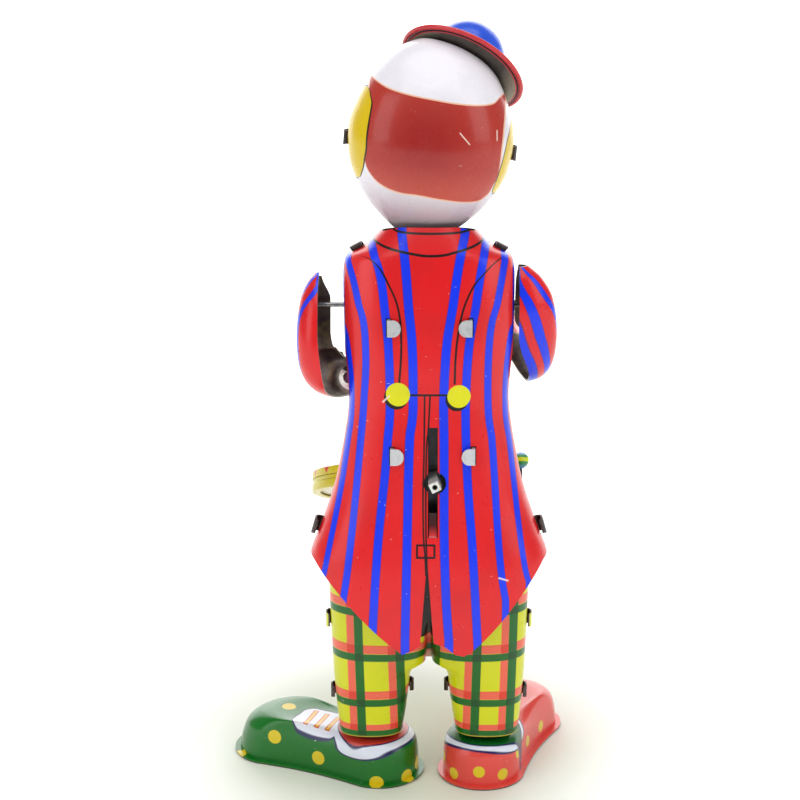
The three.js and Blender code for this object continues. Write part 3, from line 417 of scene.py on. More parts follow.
class Print:
    """A printed or metal surface, whose colours are laid over each other in millimetres."""

    def __init__(self, name, base, uv=False):
        self.material = bpy.data.materials.new(name)
        self.material.use_nodes = True
        self.tree = self.material.node_tree
        self.shader = self.tree.nodes["Principled BSDF"]
        source = self.tree.nodes.new("ShaderNodeTexCoord")
        scale = self.tree.nodes.new("ShaderNodeVectorMath")
        scale.operation = "SCALE"
        scale.inputs["Scale"].default_value = 1 / MM
        self.tree.links.new(source.outputs["Object"], scale.inputs[0])
        self.place = scale.outputs[0]
        parts = self.tree.nodes.new("ShaderNodeSeparateXYZ")
        self.tree.links.new(self.place, parts.inputs[0])
        self.x, self.y, self.z = (Wire(self.tree, s) for s in parts.outputs)
        if uv:
            flat = self.tree.nodes.new("ShaderNodeSeparateXYZ")
            self.tree.links.new(source.outputs["UV"], flat.inputs[0])
            self.u, self.v = (Wire(self.tree, s) for s in flat.outputs[:2])
        self.colour = linear(base)
        self.rough = None

    def vector(self, operation, *values):
        node = self.tree.nodes.new("ShaderNodeVectorMath")
        node.operation = operation
        self.tree.links.new(self.place, node.inputs[0])
        for slot, value in zip(node.inputs[1:], values):
            slot.default_value = value
        return node

    def spot(self, centre, radii):
        """Distance outside an ellipse or ellipsoid; a radius of None reaches through."""
        shares = [0 if r is None else 1 / r for r in radii]
        node = self.vector("MULTIPLY_ADD", shares, [-c * s for c, s in zip(centre, shares)])
        length = self.tree.nodes.new("ShaderNodeVectorMath")
        length.operation = "LENGTH"
        self.tree.links.new(node.outputs[0], length.inputs[0])
        size = min(r for r in radii if r is not None)
        return Wire(self.tree, length.outputs["Value"]).math("MULTIPLY_ADD", size, -size)

    def stroke(self, start, end, half, soft=0.1):
        """Mask of a straight line between two (x, z) points."""
        a, b = Vector((start[0], 0, start[1])), Vector((end[0], 0, end[1]))
        middle, ahead = (a + b) / 2, (b - a).normalized()
        side = Vector((-ahead.z, 0, ahead.x))
        across = Wire(self.tree, self.vector("DOT_PRODUCT", side).outputs["Value"]) - side.dot(middle)
        onward = Wire(self.tree, self.vector("DOT_PRODUCT", ahead).outputs["Value"]) - ahead.dot(middle)
        return across.band(half, soft) * onward.band((b - a).length / 2, soft)

    def noise(self, scale, detail=3.0, stretch=None):
        """Noise of about so many blotches to the millimetre."""
        node = self.tree.nodes.new("ShaderNodeTexNoise")
        node.inputs["Scale"].default_value = scale
        node.inputs["Detail"].default_value = detail
        source = self.place
        if stretch:
            source = self.vector("MULTIPLY", stretch).outputs[0]
        self.tree.links.new(source, node.inputs["Vector"])
        return Wire(self.tree, node.outputs["Fac"])

    def oval(self, x, z, wide, high=None):
        """Distance outside an ellipse drawn in X and Z."""
        return self.spot((x, 0, z), (wide, None, high or wide))

    def reach(self, y=0):
        """Distance from the upright line through Y."""
        return self.spot((0, y, 0), (1, 1, None)) + 1

    def blotches(self, scale, detail, over, gain, stretch=None):
        """Mask of the noise's peaks: 0 up to over, then as steep as gain."""
        return (self.noise(scale, detail, stretch) - over).math("MULTIPLY", gain, clamp=True)

    def outlined(self, distance, rgb, line, width=0.35, soft=0.14):
        """Fills where the distance is below zero, within a drawn line."""
        self.lay((distance - width).inside(soft), line)
        self.lay(distance.inside(soft), rgb)

    def lay(self, mask, rgb):
        """Lays a colour where the mask is 1."""
        node = self.tree.nodes.new("ShaderNodeMix")
        node.data_type = "RGBA"
        colour = linear(rgb)
        if isinstance(self.colour, list):
            node.inputs[6].default_value = self.colour
        else:
            self.tree.links.new(self.colour, node.inputs[6])
        node.inputs[7].default_value = colour
        self.tree.links.new(mask.socket, node.inputs[0])
        self.colour = node.outputs[2]
        return self

    def wear(self, amount=1.0, chip=(225, 205, 200), dirt=(60, 30, 30)):
        """Slight unevenness of the ink, small chips and scratches."""
        self.lay((self.noise(0.09) - 0.5).math("MULTIPLY", 0.5 * amount, clamp=True), dirt)
        self.lay(self.blotches(1.3, 4, 0.735, 22 * amount), chip)
        fine = self.noise(1.0, 2, (0.35, 0.35, 3.2))
        self.lay((fine - 0.755).math("MULTIPLY", 16 * amount, clamp=True), chip)
        return self

    def done(self, rough=0.3, metal=0.0, coat=0.35, bump=0.08, grain=0.5, rough_swing=0.16):
        """Ties the colours to the shader, with uneven gloss and a faint waviness."""
        shader = self.shader
        if isinstance(self.colour, list):
            base = self.colour
            self.colour = None
            node = self.tree.nodes.new("ShaderNodeMix")
            node.data_type = "RGBA"
            node.inputs[6].default_value = base
            node.inputs[7].default_value = [c * 0.7 for c in base[:3]] + [1]
            self.tree.links.new(self.noise(grain, 4).socket, node.inputs[0])
            self.colour = node.outputs[2]
        self.tree.links.new(self.colour, shader.inputs["Base Color"])
        gloss = self.noise(grain * 0.6, 3).math("MULTIPLY_ADD", rough_swing, rough - rough_swing / 2)
        self.tree.links.new(gloss.socket, shader.inputs["Roughness"])
        shader.inputs["Metallic"].default_value = metal
        shader.inputs["Specular IOR Level"].default_value = 0.35
        shader.inputs["Coat Weight"].default_value = coat * 0.6
        shader.inputs["Coat Roughness"].default_value = 0.12
        relief = self.tree.nodes.new("ShaderNodeBump")
        relief.inputs["Strength"].default_value = bump
        relief.inputs["Distance"].default_value = 0.0004
        self.tree.links.new(self.noise(grain * 0.35, 2).socket, relief.inputs["Height"])
        self.tree.links.new(relief.outputs[0], shader.inputs["Normal"])
        return self.material


RED = (224, 20, 26)
BLUE = (6, 52, 240)
BLACK = (12, 6, 10)
# painted highlight colour for the rims along the coat's side seams
SEAM_HIGHLIGHT_PINK = (238, 198, 200)
YELLOW = (222, 220, 2)
WHITE = (243, 243, 248)
NAVY = (30, 28, 84)


def metal(name, base, rough=0.35, grain=1.2, dark=0.55, stretch=None, metalness=0.9, spots=0.0):
    """Bare or plated metal with brushing and dulled patches."""
    paint = Print(name, base)
    shade = tuple(c * dark for c in base)
    paint.lay(paint.blotches(grain, 5, 0.42, 1.8, stretch), shade)
    if spots:
        paint.lay(paint.blotches(grain * 2.5, 4, 0.6, 8 * spots), (30, 24, 22))
    return paint.done(rough=rough, metal=metalness, coat=0.0, bump=0.15, grain=grain, rough_swing=0.2)


def bare_tin():
    paint = Print("bare_tin", (96, 84, 74))
    paint.lay(paint.blotches(0.16, 3, 0.45, 3.0), (62, 38, 60))
    paint.lay(paint.blotches(0.3, 4, 0.52, 5.0), (128, 108, 74))
    paint.lay(paint.blotches(0.9, 4, 0.62, 7.0), (24, 20, 20))
    return paint.done(rough=0.34, metal=0.85, coat=0.0, bump=0.2, grain=0.9)


STRIPES = [
    # half width, then where the stripe's middle lies on the figure's left and right, as (z, x)
    (1.12, [(46, 6.1), (67, 5.6), (98, 4.8), (108, 3.9), (133, 5.1), (148.6, 6.6)],
     [(46, 5.1), (67, 4.0), (98, 3.8), (108, 3.7), (133, 6.1), (148.6, 8.9)]),
    (1.08, [(44, 14.6), (67, 13.2), (97.7, 10.3), (108, 9.7), (133, 11.1), (144.8, 13.8), (147, 14.6)],
     [(44, 12.5), (67, 11.2), (97.7, 9.3), (108, 9.2), (133, 11.8), (144.8, 13.8), (147, 14.4)]),
    (0.92, [(56, 21.9), (66.4, 20.4), (97, 17.2), (107.3, 16.3), (120.3, 15.7), (132.6, 17.6),
            (142, 20.2)],
     [(56, 19.6), (66.4, 18.1), (97, 15.9), (107.3, 14.8), (120.3, 14.9), (132.6, 17.1), (142, 18.8)]),
    (0.75, [(60, 27.4), (65.5, 26.2), (95.4, 20.7), (106.5, 19.5), (120, 20.3), (126, 21.9)],
     [(60, 25.6), (65.5, 24.3), (95.4, 20.6), (106.5, 19.3), (120, 20.0), (126, 21.7)]),
]


def lay_stripes(paint, offsets, rim=0.0):
    """Blue stripes with dark edges; an offset is 1 at the edge of its stripe."""
    stripe = reduce(Wire.least, offsets) - 1
    paint.lay(stripe.inside(0.12), BLUE)
    paint.lay((stripe - rim).band(0.07, 0.1) * 0.75, (40, 14, 60))


def lay_button(paint, x, z, size):
    """Yellow button over its black shadow."""
    paint.lay(paint.oval(x + 0.5, z - 0.85, size).inside(), BLACK)
    paint.lay(paint.oval(x, z, size).inside(), YELLOW)


def coat_print(back):
    """Red cloth print with blue stripes, black drawing lines and two yellow buttons."""
    paint = Print("coat_print_" + ("back" if back else "front"), RED)
    x, z = paint.x, paint.z
    # painted highlight: the red turns paler towards the coat's sides and upwards
    paint.lay((abs(x).ramp(9, 22) * z.ramp(70, 150)).math("MULTIPLY", 0.35), (236, 74, 74))
    lay_stripes(paint, [
        abs(x - z.along([(place, side * value) for place, value in line])) * (1 / half)
        for half, left, right in STRIPES for side, line in ((1, left), (-1, right))
    ])
    neck = (z - x.along([(-11, 150.1), (-1, 149.0), (9, 150.1)])).band(0.28, 0.14)
    collar = (z - x.along([(-14.5, 147.6), (-6.4, 144.6), (-1, 143.8), (4.2, 144.3), (15.4, 147.9)]))
    paint.lay(neck, BLACK)
    paint.lay(collar.band(0.32, 0.14) * x.between(-13.6, 14.2), BLACK)
    if back:
        seam_left = [(112, 7.4), (125.8, 6.9), (131.2, 7.6), (136.3, 9.6), (141.5, 12.8), (143.4, 17.3)]
        seam_right = [(112.0, -6.4), (127, -7.6), (134.8, -10.1), (139.8, -14), (142.9, -17.8)]
        for line in (seam_left, seam_right):
            off = (x - z.along(line)).band(0.27, 0.14)
            paint.lay(off * z.between(line[0][0], line[-1][0]), BLACK)
        paint.lay(paint.stroke((-4.8, 109.3), (4.8, 109.3), 0.28), BLACK)
        line_a = z.along([(63, 0.75), (66, 0.85), (80, 1.47), (95, 1.2), (109.3, 1.05)])
        line_b = z.along([(63, 0.35), (66, 0.5), (80, 0.78), (95, 0.6), (101, 0.1), (109.3, -0.3)])
        for line in (line_a, line_b):
            paint.lay((x - line).band(0.22, 0.12) * z.between(63, 109.3), BLACK)
        rim = (abs(x - 0.8) - 2.2).most(abs(z - 69.3) - 1.6)
        paint.lay(rim.band(0.26, 0.12), BLACK)
        lay_button(paint, 7.7, 109.4, 3.0)
        lay_button(paint, -7.5, 108.9, 2.9)
        for start, end in (((11.6, 107.2), (9.8, 109.0)), ((-20.3, 61.0), (-17.7, 62.0))):
            paint.lay(paint.stroke(start, end, 0.22) * 0.85, (240, 214, 210))
    else:
        paint.lay(paint.stroke((0, 58), (0, 143), 0.2), BLACK)
        for side in (1, -1):
            paint.lay(paint.stroke((side * 1.2, 121), (side * 8.5, 141), 0.22), BLACK)
        for height in (132, 112, 92):
            lay_button(paint, 0, height, 2.9)
    # painted highlight: pale pink along the side seams, where the rim catches the light
    paint.lay((abs(paint.y) - 0.75).inside(0.5) * 0.7, SEAM_HIGHLIGHT_PINK)
    return paint.wear(1.0).done(rough=0.3, coat=0.3, bump=0.06, grain=0.4)


def plaid_print():
    """Yellow plaid with green bands and salmon bands beside and above them."""
    paint = Print("plaid_print", (212, 214, 4))
    x, z = paint.x, paint.z
    lean = (z - 40) * 0.02
    middles = (18.3, 7.6, -1.8, -12.6, -22.0)
    uprights = [x - middle - lean * math.copysign(1, middle) for middle in middles]
    levels = [z - centre for centre in (63.4, 50.4, 37.9, 24.2)]
    green_x = reduce(Wire.most, [off.band(1.15, 0.14) for off in uprights])
    salmon_x = reduce(Wire.most, [(off - 2.15).band(1.0, 0.14) for off in uprights])
    green_z = reduce(Wire.most, [off.band(1.05, 0.14) for off in levels])
    salmon_z = reduce(Wire.most, [(off - 2.3).band(1.15, 0.14) for off in levels])
    salmon_z = salmon_z.most(z.between(15.9, 17.7, 0.14))
    line_z = reduce(Wire.most, [(off - 3.5).band(0.14, 0.12) for off in levels])
    paint.lay(line_z, (226, 96, 40))
    paint.lay(salmon_x.most(salmon_z), (236, 100, 74))
    paint.lay(salmon_x * salmon_z, (222, 58, 38))
    cuff = (z - 15.9).inside(0.14)
    paint.lay(green_x.most(green_z).most(cuff), (8, 100, 18))
    paint.lay(green_x * green_z.most(cuff), (4, 72, 14))
    paint.lay(green_x * salmon_z * 0.6, (20, 84, 24))
    paint.lay(z.between(CUFF_Z - 0.3, CUFF_Z + 0.28) * 0.8, (206, 176, 40))
    # painted highlight: pale band along the trousers' side seams, where the rim catches the light
    paint.lay((abs(paint.y) - 0.5).inside(0.4) * 0.5, (230, 226, 190))
    # painted shadow: black strip on the trousers' back behind the coat's vent, so the gap shows black
    paint.lay(x.between(-2.6, 3.6) * z.between(43.4, 68) * paint.y.ramp(2, 2.4), (22, 16, 20))
    return paint.wear(0.8).done(rough=0.3, coat=0.3, bump=0.06, grain=0.4)


def head_print(back):
    """White head with a red-brown patch behind, yellow ears and, in front, a plain monkey face."""
    paint = Print("head_print_" + ("back" if back else "front"), (236, 233, 240))
    x, y, z = paint.x, paint.y, paint.z
    # painted shade: the head turns greyish lilac towards the neck
    paint.lay(z.ramp(-9, -19) * 0.75, (158, 128, 134))
    if back:
        top = x.along([(-18, 14), (-15.6, 12.2), (-13.2, 10.4), (-8.4, 9.9), (1.2, 10.4), (8.4, 11.3),
                       (12.4, 12.4), (16.5, 15.5)])
        bottom = x.along([(-18, -4), (-16.4, -8), (-14.5, -11.6), (-12.1, -12.9), (-3.5, -12.9), (1.4, -12.4),
                          (6.2, -12.2), (10, -11.2), (13.6, -8.6), (15.7, -4.3), (16.4, -1)])
        side = (x - 15.9).most(x * -1 - 17.1)
        patch = (z - top).most(bottom - z).most(side)
        paint.outlined(patch, (180, 52, 42), (240, 190, 160))
        glow = paint.oval(1.5, 0, 9, 8).math("MULTIPLY_ADD", -1 / 10, 0.55, clamp=True)
        paint.lay(glow * patch.inside(0.14), (160, 34, 30))
        paint.lay(z.ramp(-5, -13) * patch.inside(0.14) * 0.5, (206, 92, 70))
        for start, end in (((-6.6, 3.5), (-9.3, 0.9)), ((-15.5, 4.8), (-15.8, 2.2))):
            paint.lay(paint.stroke(start, end, 0.14) * 0.9, (246, 220, 206))
    else:
        fur = paint.oval(0, 5.5, 15.5)
        mask = paint.oval(4.6, 4.4, 6.4, 6.6).least(paint.oval(-4.6, 4.4, 6.4, 6.6))
        mask = mask.least(paint.oval(0, -7.2, 10.2, 7.6))
        paint.lay(fur.inside(0.14), (178, 62, 50))
        paint.outlined(mask, (244, 200, 160), BLACK)
        for side in (1, -1):
            eye = paint.oval(side * 4.4, 4.0, 2.7, 3.2)
            paint.lay(eye.inside(), WHITE)
            paint.lay(eye.band(0.16), BLACK)
            paint.lay(paint.oval(side * 4.1, 3.4, 1.4, 1.9).inside(), (70, 36, 20))
            paint.lay(paint.oval(side * 3.8, 4.2, 0.45, 0.5).inside(), WHITE)
            brow = (z - (abs(x) - 4.6) * (abs(x) - 4.6) * -0.09 - 9.2).band(0.4)
            paint.lay(brow * abs(x).between(2.0, 7.4), (96, 30, 24))
            paint.lay(paint.oval(side * 1.1, -4.6, 0.65, 0.45).inside(), BLACK)
            paint.lay(paint.oval(side * 8.6, -4.6, 1.9, 1.7).inside(0.8) * 0.7, (236, 120, 96))
        smile = (z - x * x * 0.045 + 11.0).band(0.26)
        paint.lay(smile * x.between(-6.2, 6.2), (190, 30, 30))
        paint.lay(paint.stroke((0, -5.6), (0, -10.8), 0.14), (120, 50, 40))
    outlines = {
        1: [(-10.2, 5.6), (-8.9, 8.6), (-5, 11.4), (-0.7, 12.6), (6.4, 12.2), (10.0, 10.0), (11.8, 6.6)],
        -1: [(-10.8, 6.0), (-8.0, 8.4), (-3, 9.4), (1, 9.3), (4, 8.0), (7, 4.6)],
    }
    paint.lay((abs(y) - 0.42).inside(0.2) * x.ramp(3, 8) * z.ramp(10, 12) * 0.85, (60, 46, 50))
    for side, line in outlines.items():
        edge = z.along(line)
        reach = (y - edge) if back else (y * -1 - edge * 0.35)
        low, high = line[0][0], line[-1][0]
        ear = reach.most(abs(z - (low + high) / 2) - (high - low) / 2).most(x * -side + 12.0)
        paint.outlined(ear, (222, 190, 4), BLACK)
    paint.wear(0.6, chip=(250, 236, 226), dirt=(120, 90, 90))
    return paint.done(rough=0.28, coat=0.35, bump=0.05, grain=0.35)


def shoe_print(name, base, ring, dots, dot_size, ring_reach, white_low):
    """Plain shoe colour with dots, a white ring and laced panel, and a coloured inner ring."""
    paint = Print(name, base)
    x, y, z = paint.x, paint.y, paint.z
    for place in dots:
        paint.lay(paint.spot(place, (dot_size, dot_size, dot_size)).inside(0.16), (222, 196, 20))
    reach = paint.reach()
    along = (abs(x - 14.2) - 4.6).most(0)
    across = (abs(y - 2.8) - 2.6).most(0)
    panel = along.corner(across) - 3.0
    past_ring = (reach - 9.2).most(0)
    past_wall = (z * -1 + white_low + 1.5).most(0)
    white = (past_ring.corner(past_wall) - 2.0).least(panel)
    paint.outlined(white, (226, 230, 244), NAVY, 0.36, 0.16)
    laces = (((18.7, -1.6), (17.4, 7.0)), ((14.9, -1.0), (14.1, 6.8)), ((11.1, -0.4), (10.8, 6.6)))
    for (x0, y0), (x1, y1) in laces:
        lace = abs(x - y.along([(y0, x0), (y1, x1)])) - 0.42
        lace = lace.most(abs(y - (y0 + y1) / 2) - (y1 - y0) / 2)
        paint.outlined(lace, (232, 190, 60), (206, 74, 40), 0.34)
    inner = reach - ring_reach
    paint.outlined(inner, ring, NAVY, 0.32, 0.16)
    return paint.wear(0.7, chip=(214, 226, 214)).done(rough=0.24, coat=0.5, bump=0.06, grain=0.35)


def sleeve_print(name, lines):
    """Red sleeve with blue stripes; u is the place round the arm, v the place along it."""
    paint = Print(name, RED, uv=True)
    # painted highlight: the red turns paler towards the sleeve's front lip
    paint.lay(paint.u.ramp(0.75, 0.2) * 0.3, (240, 90, 84))
    lay_stripes(paint, [abs(paint.u - paint.v.along(line)) * (1 / half) for line, half in lines], 0.02)
    return paint.wear(1.3).done(rough=0.3, coat=0.35, bump=0.06, grain=0.4)


def drum_print(name, teeth):
    """Yellow drum side; the upper hoop has red triangles hanging from its rim."""
    paint = Print(name, (206, 188, 10))
    paint.lay(paint.blotches(0.25, 3, 0.45, 1.6) * 0.5, (214, 206, 30))
    if teeth:
        turn = paint.y.math("ARCTAN2", paint.x) * (22 / (2 * math.pi)) + 0.43
        across = abs(turn.math("FRACT") - 0.5) * (2 * math.pi * DRUM["radius"] / 22 / 1.5)
        tooth = across + (paint.z - DRUM["half"]) * (-1 / 2.1) - 1
        paint.lay(tooth.inside(0.12), (208, 58, 22))
        paint.lay((paint.z - DRUM["half"] + 0.12).ramp(-0.1, 0.1) * 0.8, (196, 84, 40))
    return paint.wear(0.9, dirt=(70, 60, 0)).done(rough=0.3, coat=0.35, bump=0.06)


# ---- coat ----
coat_width = curve([
    (40, 33), (52, 32.6), (64, 31.2), (71, 28.6), (78.8, 25.8), (85.5, 23.9), (92.8, 22.4), (99, 21.3),
    (106, 20.5), (113, 20.8), (119, 21.4), (130, 21.6), (138, 21.6), (141.5, 21.2), (143.2, 20.2),
    (144.3, 17.8), (145.4, 15.6), (147.6, 13.4), (150.4, 10.8),
])
coat_back = curve([
    (40, 17.4), (52, 17), (64, 16), (78.8, 14.5), (92.8, 13.5), (106, 12.9), (119, 13.1), (130, 13),
    (138, 12.4), (143, 11.4), (147, 9.8), (150.4, 8.2),
])
coat_front = curve([
    (56, 13), (64, 13.2), (78.8, 14), (92.8, 14.6), (106, 14.5), (119, 13.8), (130, 12.8),
    (138, 12), (143, 11.1), (147, 9.7), (150.4, 8.2),
])
COAT_SQUARENESS = 2.6
COAT_ACROSS = power(even(-1, 1, 65), 0.9)
COAT_DOWN = even(0, 1, 70) ** 1.25


def coat_grid(depth, facing, hem, inset, collar):
    across, down = np.meshgrid(COAT_ACROSS, COAT_DOWN)
    sine = np.sin(across * math.pi / 2)
    bulge = 2 / COAT_SQUARENESS
    top = mix(collar, min(149.0, collar), smooth(0.3, 0.9, np.abs(across)))
    z = mix(top, hem(33 * power(sine, bulge)), down)
    x = (coat_width(z) - inset) * power(sine, bulge)
    y = facing * (SEAM + (depth(z) - inset) * np.clip(np.cos(across * math.pi / 2), 0, 1) ** bulge)
    return np.stack([x, y, z], -1)


def coat_depth_at(x, z, depth):
    share = (abs(x) / coat_width(z)) ** COAT_SQUARENESS
    return float(SEAM + depth(z) * (1 - share) ** (1 / COAT_SQUARENESS))


def tail_hem(x):
    left = curve([(0, 45.6), (2.6, 45.2), (6.4, 41.8), (31, 64), (33, 65)])
    right = curve([(0, 45.6), (2.6, 45.2), (9.6, 41.8), (31, 64), (33, 65)])
    return np.where(x > 0, left(x), right(-x))


def front_hem(x):
    return curve([(0, 58), (12, 59), (24, 62), (33, 64.6)])(np.abs(x))


def add_shell(node, name, mesh, body, slot, *materials, matrix=None):
    """A tin piece that stands for a CAD node, with its printed and bare sides."""
    for material in materials:
        mesh.materials.append(material)
    finish_mesh(mesh)
    piece = make_object(name, mesh, matrix)
    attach(piece, body)
    if node:
        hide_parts(node)
    return piece


def bent_tab(side, edge, z, height, lap, lean=0.0):
    """Small tin tab that comes out of the front shell and is folded back along the side."""
    line = [(-1.2, -1.5), (-0.2, -1.7), (0.7, -1.3), (1.2, -0.4), (1.15, lap * 0.6), (0.5, lap)]
    half = height / 2
    tapers = [half] * (len(line) - 1) + [half * 0.82]
    outer, inner = (
        np.array([[(a + offset, b, h) for h in even(-taper, taper, 7)]
                  for (a, b), taper in zip(line, tapers)])
        for offset in (0.0, -0.42)
    )
    mesh = shell("tab", outer, inner)
    turn = Matrix.Rotation(-math.radians(lean), 4, "Y")
    mesh.transform(Matrix.Translation(Vector((edge, 0, z)) * MM) @ turn)
    return mirrored(mesh, side)


WINGS = [(9.9, 126.2), (-10.3, 126.2), (9.3, 93.6), (-11.2, 93.6)]
KEY_SLOT = ((-2.25, 72.8), (0.25, 101))      # lower and upper corner, x and z


def prism(outline, y_low, y_high):
    """Straight-sided cutter drawn in X and Z."""
    count = len(outline)
    points = [(x, y_low, z) for x, z in outline] + [(x, y_high, z) for x, z in outline]
    faces = [tuple(range(count)), tuple(reversed(range(count, 2 * count)))]
    faces += [(k, k + count, (k + 1) % count + count, (k + 1) % count) for k in range(count)]
    return welded_mesh("cutter", points, faces, [BARE] * len(faces))


def make_coat_half(name, depth, facing, hem, collar, tin, cutters):
    outer, inner = (coat_grid(depth, facing, hem, inset, collar) for inset in (0, SHEET))
    piece = add_shell(f"{name}_shell", name, shell(name, outer, inner), "figure", "coat_print",
                      coat_print(facing > 0), tin)
    cut(piece, *cutters)


def make_coat(tin, edge_tin):
    cutters = [block("c", (x - 0.7, 4, z - 2.4), (x + 0.7, 20, z + 2.4)) for x, z in WINGS]
    (left, bottom), (right, top) = KEY_SLOT
    cutters.append(block("c", (left, 4, bottom), (right, 22, top)))
    cutters.append(rod_mesh((ARBOR[0], 4, ARBOR[1]), (ARBOR[0], 22, ARBOR[1]), 2.85, 48))
    cutters.append(prism([(-1.9, 36), (2.9, 36), (0.75, 63.6), (0.5, 64.3), (0.15, 63.6)], 4, 24))
    make_coat_half("coat_back", coat_back, 1, tail_hem, COLLAR_Z, tin, cutters)
    y, z = SHOULDER
    cutters = [rod_mesh((side * 12, y, z), (side * 30, y, z), 1.3) for side in (1, -1)]
    cutters.append(rod_mesh((0, -20, 61.1), (0, -6, 61.1), 1.3))
    make_coat_half("coat_front", coat_front, -1, front_hem, 148.6, tin, cutters)
    tabs = []
    for side in (1, -1):
        tabs.append(bent_tab(side, 17.9, 144.4, 3.4, 2.2, 62))
        tabs.append(bent_tab(side, float(coat_width(71.5)) + 0.75, 71.5, 4.4, 2.4, 16))
    add_shell(None, "coat_tabs", joined("coat_tabs", *tabs), "figure", "bare_tin", edge_tin, edge_tin)
    # tongue of tin left by the key slot, folded in at its lower end
    depth = coat_depth_at(-1, 72.8, coat_back)
    rows = []
    for offset in (0.0, -0.4):
        grid = []
        for rise in even(0, 6.4, 12):
            lean = 0.25 * rise + 0.035 * rise * rise
            grid.append([(x, depth - 0.05 - lean + offset, 72.0 + rise) for x in even(-2.0, 0.0, 5)])
        rows.append(np.array(grid, float))
    add_shell(None, "slot_tongue", shell("slot_tongue", rows[0], rows[1]), "figure", "coat_print",
              tongue_print(), tin)


def tongue_print():
    paint = Print("tongue_print", (232, 60, 62))
    # painted shade: the tongue darkens as it leans in deeper, towards its top
    paint.lay(paint.z.ramp(72.6, 75.6), (92, 28, 32))
    # painted highlight: pale pink along the slot's lower cut edge
    paint.lay((paint.z - 73.0).inside(0.3), (244, 150, 146))
    return paint.wear(0.6).done(rough=0.32, coat=0.2, bump=0.06)


# ---- trousers ----
leg_inner = curve([(14, 7.2), (20, 6.2), (27, 5.3), (30.5, 4.9), (32.8, 3.6), (34.4, 0.8), (68, 0.8)])
leg_outer = curve([(14, 24.0), (20, 24.6), (30, 25.4), (39, 25.8), (50, 26.2), (60, 26.4), (68, 26.2)])
leg_back = curve([(14, 6.2), (25, 7.6), (40, 10), (55, 12), (68, 12.8)])
leg_front = curve([(14, 11.6), (25, 11.6), (40, 11.4), (55, 11.2), (68, 11)])
CROTCH_Z = 34.4
LEG_ACROSS = power(even(-1, 1, 29), 0.85)
LEG_ROWS = np.concatenate([even(CUFF_Z, CROTCH_Z, 26), even(CROTCH_Z, 68, 24)[1:]])


def trouser_grid(depth, facing, inset):
    across, z = np.meshgrid(np.concatenate([-LEG_ACROSS, LEG_ACROSS]), LEG_ROWS)
    side = np.ones_like(across)
    side[:, :len(LEG_ACROSS)] = -1
    hip = smooth(CROTCH_Z, 52, z)
    inside = leg_inner(z) + np.where(across < 0, inset * (1 - smooth(31, 35, z)), 0)
    outside = leg_outer(z) - inset
    sine = np.sin(across * math.pi / 2)
    x = mix(inside, outside, (power(sine, 0.8) + 1) / 2)
    leg_y = np.clip(np.cos(across * math.pi / 2), 0, 1) ** 0.8
    hip_y = (1 - np.clip(x / outside, 0, 1) ** 2.4) ** (1 / 2.4)
    y = facing * (SEAM + (depth(z) - inset) * mix(leg_y, hip_y, hip))
    return np.stack([side * x, y, z], -1)


def make_trousers(tin, edge_tin):
    finish = plaid_print()
    keep = np.ones((len(LEG_ROWS) - 1, 2 * len(LEG_ACROSS) - 1), bool)
    keep[LEG_ROWS[:-1] < CROTCH_Z - 0.01, len(LEG_ACROSS) - 1] = False
    for name, depth, facing in (("back", leg_back, 1), ("front", leg_front, -1)):
        outer, inner = (trouser_grid(depth, facing, inset) for inset in (0, SHEET))
        name = f"trousers_{name}"
        mesh = shell(name, outer, inner, keep)
        add_shell(f"{name}_shell", name, mesh, "figure", "plaid_print", finish, tin)
    tabs, ends = [], []
    for side in (1, -1):
        tabs.append(bent_tab(side, float(leg_outer(45.5)) + 0.1, 45.5, 4.2, 2.2))
        ends.append(bent_tab(side, float(leg_outer(25)) + 0.1, 25, 3.6, 1.9))
        inner = bent_tab(-side, 0, 26.6, 3.0, 1.9)
        inner.transform(Matrix.Translation((side * (float(leg_inner(26.6)) - 0.1) * MM, 0, 0)))
        ends.append(inner)
    add_shell(None, "hip_tabs", joined("hip_tabs", *tabs), "figure", "plaid_print", finish, edge_tin)
    add_shell(None, "leg_tabs", joined("leg_tabs", *ends), "figure", "bare_tin", edge_tin, edge_tin)


# ---- head and hat ----
head_width = curve([
    (-22.6, 6.4), (-21, 8.6), (-18, 12.0), (-14, 15.5), (-8, 18.9), (-2, 20.3), (3, 20.4), (8, 19.1),
    (13, 17.0), (18, 13.9), (22, 9.6), (24.4, 4.6), (25.2, 0),
])
head_deep = curve([
    (-22.6, 4.0), (-21, 5.6), (-18, 8.4), (-14, 11.6), (-8, 15.2), (-2, 17), (3, 17.2), (8, 16.6),
    (13, 15), (18, 12), (22, 8.2), (24.4, 4.0), (25.2, 0),
])
HEAD_TURN = turned_to(HEAD["place"], 0, HEAD["tilt"], 0)
HAT_TURN = turned_to(HAT["place"], HAT["lean"], HAT["tilt"], 0)


def face_relief(x, z):
    muzzle = 5.2 * np.exp(-((x / 9.5) ** 2) - ((z + 8.5) / 6.5) ** 2)
    brow = 1.3 * np.exp(-((x / 11) ** 2) - ((z - 8) / 2.8) ** 2)
    return muzzle + brow


def head_grid(facing, inset):
    rise = np.sin(even(-1, 1, 64) * math.pi / 2)
    across, z = np.meshgrid(power(even(-1, 1, 57), 0.9), mix(-22.6, 25.2, (rise + 1) / 2))
    z[0] += 1.4 * smooth(0.45, 1, np.abs(across[0]))
    sine = np.sin(across * math.pi / 2)
    x = np.maximum(head_width(z) - inset, 0) * power(sine, 0.86)
    cosine = np.clip(np.cos(across * math.pi / 2), 0, 1)
    cosine[np.abs(across) > 0.999] = 0
    deep = np.maximum(head_deep(z) - inset, 0) * cosine**0.86
    relief = face_relief(x, z) * smooth(0, 0.4, cosine) if facing < 0 else 0
    z[-1] -= inset
    return np.stack([x, facing * (SEAM + deep + relief), z], -1)


